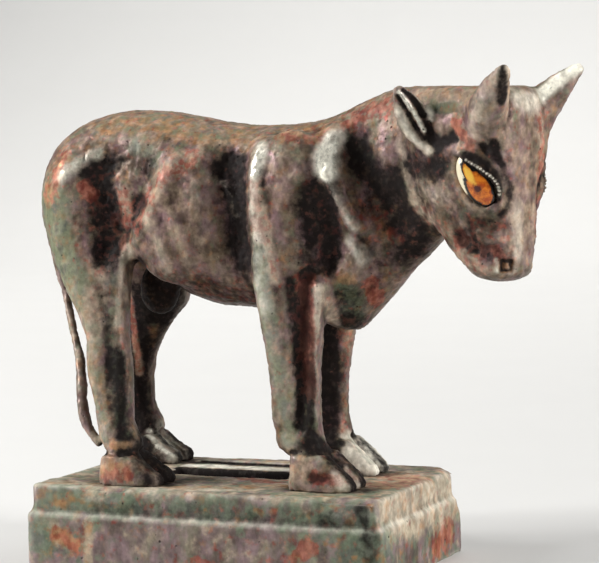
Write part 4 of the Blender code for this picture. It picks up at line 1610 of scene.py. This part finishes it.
    def pouch_strokes(self) -> tuple[Stroke, ...]:
        """Painted shade between the hind legs, with some ochre, as paths in space."""
        return (
            drawn(((-24, 0, 60), (-22, 0, 50), (-20, 0, 44)), 17.0, grime=1.6, ochre=0.5, crest=-1.0),
        )

    def horn_strokes(self, side: int) -> tuple[Stroke, ...]:
        """A black stripe of painted shade up the front of the horn on the right, beside a paler side and
        rim; a painted highlight streak on the left horn, with painted shade under it.
        """
        line = self.head.line(self.horn_line, side)
        sizes = [size[0] for size in self.horn_sizes]
        forward, left = self.head.forward, self.head.left
        if side > 0:
            streak_way = (forward * 0.45 - left * 0.65 + Z_AXIS * 0.6).normalized()
            under_way = (forward * 0.55 + left * 0.75 - Z_AXIS * 0.35).normalized()
            return (
                drawn(beside(line[1:], sizes[1:], streak_way), 3.2, grime=-1.0, crest=1.6, pale=0.6),
                drawn(beside(line, sizes, under_way), 4.0, grime=0.30, cuprite=0.35),
            )
        pale_way = (forward * 0.25 - left * 0.95).normalized()
        dark_way = (forward * 0.95 - left * 0.30).normalized()
        rim_way = (forward * 0.93 + left * 0.37).normalized()
        upper = [(line[1] + line[2]) / 2, line[2], line[3]]
        return (
            drawn(beside(line, sizes, pale_way), 5.0, grime=-0.6, pale=0.4, crest=0.12),
            drawn(beside(upper, sizes[1:], dark_way), 3.4, grime=1.5),
            drawn(
                beside(line[1:], sizes[1:], rim_way), 2.2, grime=-1.0, pale=0.6, ochre=0.5, crest=0.15
            ),
        )

    def brisket_view(self) -> DrawingPlane:
        """The brisket seen from ahead of it on the right; strokes are across and height."""
        across = Vector((0.918, 0.397, 0))
        facing = Vector((0.397, -0.918, 0))
        return DrawingPlane(Vector((48, 0, 56)), across, Z_AXIS, facing)

    def drawings(self) -> list[Drawing]:
        """Every set of strokes with the view that it is drawn in."""
        work: list[Drawing] = []
        for side in SIDES:
            share = 1.0 if side < 0 else self.hidden_share
            for strokes in (FLANK_HOLLOWS, FLANK_RIDGES, FLANK_CRUSTS):
                work.append((tuple(stroke.plainer(share) for stroke in strokes), self.flank_view(side)))
            work.append((SIDE_OF_HEAD_STROKES, self.head.side_view(side)))
            work.append((self.eye_strokes(side), self.seat.view(side)))
            work.append((self.ear_strokes(), self.ear_view(side)))
            work.append((self.nostril_strokes(), self.nostril_view(side)))
            work.append((self.horn_strokes(side), None))
        work.append((FRONT_OF_HEAD_STROKES, self.head.front_view()))
        work.append((self.hoof_strokes(), None))
        inner = DrawingPlane(Vector(), X_AXIS, Z_AXIS, -Y_AXIS, start=-19.0, stop=-4.0)
        work.append((self.far_hoof_strokes(), inner))
        work.append((self.pouch_strokes(), None))
        ahead = DrawingPlane(Vector(), Y_AXIS, Z_AXIS, X_AXIS, start=-40.0)
        work.append((self.slope_strokes(), ahead))
        for side in SIDES:
            work.append((self.hoof_side_strokes(side), self.flank_view(side)))
        work.append((BRISKET_CRUSTS, self.brisket_view()))
        return work

    def shade_and_coat(self, skin: Skin) -> None:
        """Lay the coats that follow the form: painted shade on downward faces, on the inner sides low
        down, on the far legs and in creases, painted highlights on ridges, and crust on top.

        Args:
            skin: The carved skin.
        """
        _, y, z = skin.places.T
        _, leftward, upward = skin.normals.T
        # Painted shade on faces that turn downward
        skin.lay(Coat.SHADE_AND_DIRT, np.clip(-upward - 0.10, 0, 1) * 0.42)
        # Painted shade on low faces that turn toward the figure's middle, and on the far legs' faces that
        # turn right
        low = np.clip((self.leg_top - z) / 8, 0, 1)
        inward = np.clip(-leftward * np.sign(y) - 0.05, 0, 1)
        skin.lay(Coat.SHADE_AND_DIRT, low * inward * 0.95)
        far_leg = low * np.clip((y - 4) / 4, 0, 1) * np.clip(-leftward + 0.3, 0, 1)
        skin.lay(Coat.SHADE_AND_DIRT, far_leg * 0.5)
        # Painted shade in hollows and painted highlights on ridges, judged from the relief
        depth = skin.relief(self.relief_steps)
        skin.lay(Coat.SHADE_AND_DIRT, np.clip(depth / 0.30, 0, 1) * 0.75)
        skin.lay(Coat.PAINTED_HIGHLIGHT, np.clip(-depth / 0.45 - 0.15, 0, 1) * 0.14)
        top = np.clip(upward - 0.3, 0, 1)
        for coat, on_top, everywhere in self.crusts:
            skin.lay(coat, top * on_top + everywhere)
        self.shade_cheeks(skin)

    def shade_cheeks(self, skin: Skin) -> None:
        """Lay thin painted shade on the sides of the head, below the horns.

        Args:
            skin: The carved skin.
        """
        offset = skin.places - np.array(self.head.point(0, 0, 0))
        out = np.abs(offset @ np.array(self.head.left))
        ahead = offset @ np.array(self.head.forward)
        sideways = np.abs(skin.normals @ np.array(self.head.left)) * np.clip((out - 8) / 4, 0, 1)
        within = (out < 15.5) & (skin.places[:, 2] < 102)
        skin.lay(Coat.SHADE_AND_DIRT, np.clip((ahead - 14) / 6, 0, 1) * sideways * within * 0.30)

    def build(self) -> bpy.types.Object:
        """Model the bull and dress it."""
        mesh = self.rough_form()
        self.add_trimmings(mesh)
        mesh = melted(mesh, self.fine_voxel, self.fine_steps)
        skin = Skin(mesh, SOLE_HEIGHT)
        drawings = self.drawings()
        for strokes, plane in drawings:
            skin.carve(strokes, plane)
        skin.wear(depth=0.26, size=6.5, shift=0.0)
        skin.wear(depth=0.14, size=2.2, shift=40.0)
        skin.store()
        mesh = thinned(mesh, self.triangles)
        self.add_beads(mesh)
        skin = Skin(mesh, SOLE_HEIGHT)
        self.shade_and_coat(skin)
        for strokes, plane in drawings:
            skin.coat(strokes, plane)
        skin.roughen(Coat.PITS, depth=0.9, size=1.3, shift=60.0)
        skin.store()
        skin.store_coats()
        mesh.shade_smooth()
        piece = link("bull_dressed", mesh)
        mesh.materials.clear()
        mesh.materials.append(BronzeFinish("old_bronze").build())
        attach(piece, "root")
        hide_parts("bull")
        return piece


@dataclass
class Plinth:
    """The two-tier block, knocked and rubbed at its edges, with painted shade in its two pockets and a
    painted highlight on the bar between them, in grid steps.

    Attributes:
        hooves: The hooves that stand on it.
        voxel: Size of the faces of its skin, in metres.
        ease_steps: How often the skin is eased.
        half_length: Half of its length.
        half_width: Half of its width.
        top: The height of its top.
        ledge_height: The height of the lower tier.
        pocket_back: The rear end of the pockets.
        pocket_front: Their front end.
        pockets_middle: The middle of both pockets across the plinth.
        pockets_half_width: How far from there the outer sides of both are.
        pocket_floor: A height just below their floor.
        pocket_rim: A height just below their rim.
        bar_middle: The middle of the bar between them across the plinth.
        bar_bright: How far from there its painted highlight goes.
        bar_edge: How far from there its edges of painted shade go.
        bar_height: A height just below its top.
        relief_steps: How far around a place its hollows and crests are judged.
        crusts: Each crust that lies everywhere, with its thickness.
    """

    hooves: tuple[Hoof, ...]
    voxel: float = 0.0007
    ease_steps: int = 2
    half_length: float = 55.5
    half_width: float = 34.4
    top: float = 25.4
    ledge_height: float = 17.2
    pocket_back: float = -26.8
    pocket_front: float = 14.3
    pockets_middle: float = 12.0
    pockets_half_width: float = 16.0
    pocket_floor: float = 20.5
    pocket_rim: float = 24.9
    bar_middle: float = 14.6
    bar_bright: float = 3.6
    bar_edge: float = 7.4
    bar_height: float = 24.6
    relief_steps: int = 24
    crusts: tuple[tuple[Coat, float], ...] = (
        (Coat.VERDIGRIS, 0.42),
        (Coat.PALE, 0.22),
        (Coat.CUPRITE, 0.20),
        (Coat.OCHRE, 0.20),
        (Coat.PITS, 0.45),
    )

    def wear_strokes(self) -> tuple[Stroke, ...]:
        """Knocks and rubbed-down corners, as paths in space."""
        length, width, top = self.half_length, self.half_width, self.top
        return (
            drawn(((length, width, top), (length, width, 17)), 6.5, -1.8),
            drawn(((length, 25, top), (length, width, top)), 3.0, -1.0),
            drawn(((length, 8, top), (length, 14, top)), 3.0, -0.8),
            drawn(((length, -width, top), (length, -width, 10)), 2.6, -0.7),
            drawn(((40, -width, top), (length, -width, top)), 4.5, -1.7),
            drawn(((-20, -width, top), (2, -width, top)), 2.6, -0.6),
            drawn(((20, -width, top), (34, -width, top)), 2.4, -0.8),
            drawn(((-36, -width, top), (-26, -width, top)), 4.0, -1.5),
            drawn(((-length, -width, top), (-length, -width, 20)), 3.0, -1.0),
            drawn(((-length, -20, top), (-length, 10, top)), 2.6, -0.7),
            drawn(((-40, width, top), (-20, width, top)), 3.0, -0.8),
            drawn(((12, width, top), (30, width, top)), 2.6, -0.8),
        )

    def front_strokes(self) -> tuple[Stroke, ...]:
        """The crusts on the near face; strokes are ahead and height."""
        return (
            drawn(((-45, 10.5), (-40, 8.0)), 5.0, ochre=0.6, cuprite=0.35, pale=0.3),
            drawn(((-35, 14.5), (-35.5, 4.0)), 2.6, pale=0.9, ochre=0.2),
            drawn(((-54, 13.0), (-50, 10.0)), 7.0, verdigris=0.6),
            drawn(((-30, 8.0), (24, 10.0)), 10.0, pale=-0.05, verdigris=-0.3, ochre=-0.1),
            drawn(((36, 12.0), (30, 8.0)), 5.0, cuprite=0.55, verdigris=0.2),
            drawn(((51, 15.0), (47, 4.0)), 7.0, verdigris=0.6, grime=0.35),
            drawn(((49, 22.0), (42, 19.5)), 6.0, verdigris=0.3, grime=0.45),
            drawn(((-8, 4.0), (4, 4.0)), 4.5, cuprite=0.3),
            drawn(((51.4, 23.0), (53.4, 19.2)), 3.6, grime=0.6, verdigris=0.4),
            drawn(((54.4, 15.4), (55.6, 3.0)), 3.8, grime=0.75, verdigris=0.4),
            drawn(((-50, 21.0), (-40, 20.0)), 6.0, verdigris=0.5, ochre=0.3),
            drawn(((-32, 20.5), (40, 20.5)), 5.5, grime=0.35, verdigris=0.25),
        )

    def end_strokes(self) -> tuple[Stroke, ...]:
        """The crusts on the front end, with a pale painted highlight across its upper part; strokes are
        across and height.
        """
        return (
            drawn(((11, 5.0), (22, 8.0)), 7.5, cuprite=0.6, ochre=0.4),
            drawn(((-24, 20.0), (26, 18.0)), 12.0, pale=1.2, ochre=0.15, crest=0.18, verdigris=-0.3),
            drawn(((-31, 12.0), (-26, 14.0)), 7.0, verdigris=0.7),
        )

    def top_strokes(self) -> tuple[Stroke, ...]:
        """The crusts on the top, with painted highlights along its edges; strokes are ahead and across."""
        return (
            drawn(((44, 12), (54, 4), (45, -5)), 12.0, ochre=0.6, cuprite=0.3, pale=0.6, crest=0.12),
            drawn(((30, -28), (46, -20), (52, -8)), 9.0, pale=0.6, verdigris=0.2),
            drawn(((13, -9), (2, -5)), 6.0, cuprite=0.5),
            drawn(((-50, -30), (-30, -27), (0, -26), (22, -14)), 5.0, pale=0.9, ochre=0.3),
            drawn(((-54, 8), (-54, -31), (-38, -31)), 6.5, pale=0.8, verdigris=0.2, crest=0.2),
            drawn(((-20, -31), (-2, -28), (8, -27)), 4.5, pale=0.7, crest=0.22),
            drawn(((-27, 32.5), (-18, 32.5)), 3.0, crest=0.5),
        )

    def shade_and_coat(self, skin: Skin) -> None:
        """Lay painted shade in the pockets, a painted highlight along the ledge, painted shade in hollows
        and painted highlights on edges, each hoof's painted shadow on the top, and crusts over the rest.

        Args:
            skin: The knocked and weathered skin.
        """
        self.shade_and_light_pockets(skin)
        for coat, thickness in self.crusts:
            skin.lay(coat, np.full(len(skin.places), thickness))
        # A painted highlight along the ledge
        ledge = np.exp(-(((skin.places[:, 2] - self.ledge_height) / 0.7) ** 2))
        skin.lay(Coat.PAINTED_HIGHLIGHT, ledge * 0.35)
        # Painted shade in hollows and painted highlights on edges, judged from the relief
        depth = skin.relief(self.relief_steps)
        skin.lay(Coat.SHADE_AND_DIRT, np.clip(depth / 0.3, 0, 1) * 0.35)
        skin.lay(Coat.PAINTED_HIGHLIGHT, np.clip(-depth / 0.5 - 0.2, 0, 1) * 0.25)
        skin.lay(Coat.PALE, np.clip(skin.normals[:, 2] - 0.3, 0, 1) * 0.45)
        # Each hoof's painted shadow on the top
        for hoof in self.hooves:
            shadow = ((hoof.heel + 2, hoof.across, self.top), (hoof.toe - 1, hoof.across, self.top))
            skin.coat((drawn(shadow, 11.5, grime=0.8),))
        near = DrawingPlane(Vector(), X_AXIS, Z_AXIS, -Y_AXIS, start=30.0)
        skin.coat(self.front_strokes(), near)
        ahead = DrawingPlane(Vector(), Y_AXIS, Z_AXIS, X_AXIS, start=50.0, stop=80.0)
        skin.coat(self.end_strokes(), ahead)
        above = DrawingPlane(Vector(), X_AXIS, Y_AXIS, Z_AXIS, start=23.0, stop=40.0)
        skin.coat(self.top_strokes(), above)

    def shade_and_light_pockets(self, skin: Skin) -> None:
        """Lay painted shade in the pockets, and on the bar a painted highlight along its middle with
        painted shade on its edges.

        Args:
            skin: The knocked and weathered skin.
        """
        x, y, z = skin.places.T
        within = (x > self.pocket_back - 1.0) & (x < self.pocket_front + 1.0)
        sunk = within & (z < self.pocket_rim) & (z > self.pocket_floor)
        # Painted shade in the pockets
        skin.lay(Coat.SHADE_AND_DIRT, sunk & (np.abs(y - self.pockets_middle) < self.pockets_half_width))
        # A painted highlight along the bar's middle, and painted shade on its edges
        bar = within & (z > self.bar_height)
        from_middle = np.abs(y - self.bar_middle)
        skin.lay(Coat.PAINTED_HIGHLIGHT, bar * np.clip((self.bar_bright - from_middle) / 1.5, 0, 1) * 0.75)
        edges = np.clip(from_middle - self.bar_bright, 0, 1) * (from_middle < self.bar_edge)
        skin.lay(Coat.SHADE_AND_DIRT, bar * edges)

    def build(self) -> bpy.types.Object:
        """Model the plinth and dress it."""
        mesh = melted(merged_copy("plinth"), self.voxel, self.ease_steps)
        skin = Skin(mesh, 0.0)
        skin.carve(self.wear_strokes())
        skin.wear(depth=0.20, size=5.0, shift=12.0)
        skin.wear(depth=0.12, size=1.8, shift=52.0)
        skin.places[:, 2] = np.clip(skin.places[:, 2], 0.0, self.top + 0.1)
        skin.store()
        self.shade_and_coat(skin)
        skin.store_coats()
        mesh.shade_smooth()
        piece = link("plinth_dressed", mesh)
        mesh.materials.clear()
        finish = BronzeFinish(
            "old_plinth_bronze",
            brown=tone(122, 106, 102),
            umber=tone(96, 82, 76),
            olive=tone(116, 116, 94),
            mauve=tone(142, 120, 122),
            beige=tone(182, 166, 140),
            green=tone(122, 140, 114),
            dark_green=tone(70, 88, 74),
            metallic=0.12,
            roughness=0.55,
            fleck=0.0018,
            patch=0.0048,
            pale_edge=0.15,
            crust_edge=0.12,
        )
        mesh.materials.append(finish.build())
        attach(piece, "root")
        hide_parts("plinth")
        return piece


@dataclass(frozen=True)
class SoftLight:
    """A soft square light aimed at the figure.

    Attributes:
        name: The light's name.
        way: The direction in which it stands.
        distance: How far away it is, in metres.
        size: Its edge length in metres.
        watts: Its power.
    """

    name: str
    way: tuple[float, float, float]
    distance: float
    size: float
    watts: float


@dataclass
class Studio:
    """A plain pale floor that curves up behind, soft lights and the camera, in metres."""

    floor_half_width: float = 6.0
    floor_front: float = -3.0
    floor_back: float = 1.0
    cove_radius: float = 0.7
    wall_height: float = 3.0
    lights: tuple[SoftLight, ...] = (
        SoftLight("key", (-0.82, -0.42, 0.50), 1.1, 0.40, 16.0),
        SoftLight("side", (0.98, -0.10, 0.32), 1.1, 0.40, 10.5),
        SoftLight("top", (0.05, 0.25, 1.0), 1.3, 0.60, 3.5),
    )
    aim: Vector = field(default_factory=lambda: Vector((0.01, 0, 0.08)))
    sky: Colour = (0.95, 0.97, 1.0, 1.0)
    sky_strength: float = 0.08
    backdrop_watts: float = 7.0
    backdrop_size: float = 1.3
    backdrop_spread: float = math.radians(80)
    backdrop_place: Vector = field(default_factory=lambda: Vector((-0.5, 1.15, 1.5)))
    lens: float = 156.26
    sensor: float = 36.0
    eye: Vector = field(default_factory=lambda: Vector((0.3247, -0.7070, 0.1450)))
    heading: float = math.radians(23.4)
    pitch: float = math.radians(4.49)
    roll: float = math.radians(-1.0)

    def add_floor(self) -> None:
        """Floor, cove and wall in one sheet."""
        bm = bmesh.new()
        start = [
            bm.verts.new((-self.floor_half_width, self.floor_front, 0)),
            bm.verts.new((self.floor_half_width, self.floor_front, 0)),
        ]
        edge = bm.edges.new(start)
        made = bmesh.ops.extrude_edge_only(bm, edges=[edge])
        verts = [item for item in made["geom"] if isinstance(item, bmesh.types.BMVert)]
        edges = [item for item in made["geom"] if isinstance(item, bmesh.types.BMEdge)]
        run = self.floor_back - self.floor_front
        bmesh.ops.translate(bm, verts=verts, vec=(0, run, 0))
        bmesh.ops.spin(
            bm,
            geom=verts + edges,
            cent=(0, self.floor_back, self.cove_radius),
            axis=(1, 0, 0),
            angle=math.pi / 2,
            steps=24,
        )
        far = max(vert.co.y for vert in bm.verts)
        rim = [side for side in bm.edges if all(vert.co.y > far - 1e-5 for vert in side.verts)]
        wall = bmesh.ops.extrude_edge_only(bm, edges=rim)
        verts = [item for item in wall["geom"] if isinstance(item, bmesh.types.BMVert)]
        bmesh.ops.translate(bm, verts=verts, vec=(0, 0, self.wall_height))
        bmesh.ops.recalc_face_normals(bm, faces=bm.faces)
        mesh = bpy.data.meshes.new("floor")
        bm.to_mesh(mesh)
        bm.free()
        mesh.shade_smooth()
        mesh.materials.append(FloorFinish().build())
        link("floor", mesh)

    def add_light(self, light: SoftLight) -> None:
        """Set up a light and aim it.

        Args:
            light: The light.
        """
        data = bpy.data.lights.new(light.name, "AREA")
        data.energy = light.watts
        data.size = light.size
        lamp = bpy.data.objects.new(light.name, data)
        direction = Vector(light.way).normalized()
        lamp.location = self.aim + direction * light.distance
        lamp.rotation_euler = direction.to_track_quat("Z", "Y").to_euler()
        bpy.context.scene.collection.objects.link(lamp)

    def add_backdrop_light(self) -> None:
        """A wide light high behind the figure, aimed straight down at the floor there."""
        data = bpy.data.lights.new("backdrop", "AREA")
        data.energy = self.backdrop_watts
        data.size = self.backdrop_size
        data.spread = self.backdrop_spread
        lamp = bpy.data.objects.new("backdrop", data)
        lamp.location = self.backdrop_place
        bpy.context.scene.collection.objects.link(lamp)

    def add_camera(self) -> None:
        """The camera where the photograph was taken."""
        forward = Vector(
            (
                -math.sin(self.heading) * math.cos(self.pitch),
                math.cos(self.heading) * math.cos(self.pitch),
                -math.sin(self.pitch),
            )
        )
        level = Vector((math.cos(self.heading), math.sin(self.heading), 0))
        upright = level.cross(forward)
        right = level * math.cos(self.roll) + upright * math.sin(self.roll)
        up = upright * math.cos(self.roll) - level * math.sin(self.roll)
        data = bpy.data.cameras.new("camera")
        data.sensor_width = self.sensor
        data.lens = self.lens
        camera = bpy.data.objects.new("camera", data)
        matrix = Matrix((right, up, -forward)).transposed().to_4x4()
        matrix.translation = self.eye
        camera.matrix_world = matrix
        bpy.context.scene.collection.objects.link(camera)
        bpy.context.scene.camera = camera

    def build(self) -> None:
        """Set up floor, lights, sky and camera."""
        self.add_floor()
        for light in self.lights:
            self.add_light(light)
        self.add_backdrop_light()
        world = bpy.data.worlds.new("studio")
        world.use_nodes = True
        background = world.node_tree.nodes["Background"]
        background.inputs["Color"].default_value = self.sky
        background.inputs["Strength"].default_value = self.sky_strength
        bpy.context.scene.world = world
        bpy.context.scene.view_settings.view_transform = "Standard"
        self.add_camera()


def main() -> None:
    """Build every piece in order."""
    logging.basicConfig(level=logging.INFO, format="%(name)s: %(message)s")
    bull = Bull()
    for sub_assembly in (
        Plinth(bull.hooves),
        bull,
        EyeInlay(-1, "right_eye_inlay"),
        EyeInlay(1, "left_eye_inlay"),
    ):
        piece = sub_assembly.build()
        LOG.info("%s: %d faces", piece.name, len(piece.data.polygons))
    Studio().build()


if __name__ == "__main__":
    main()
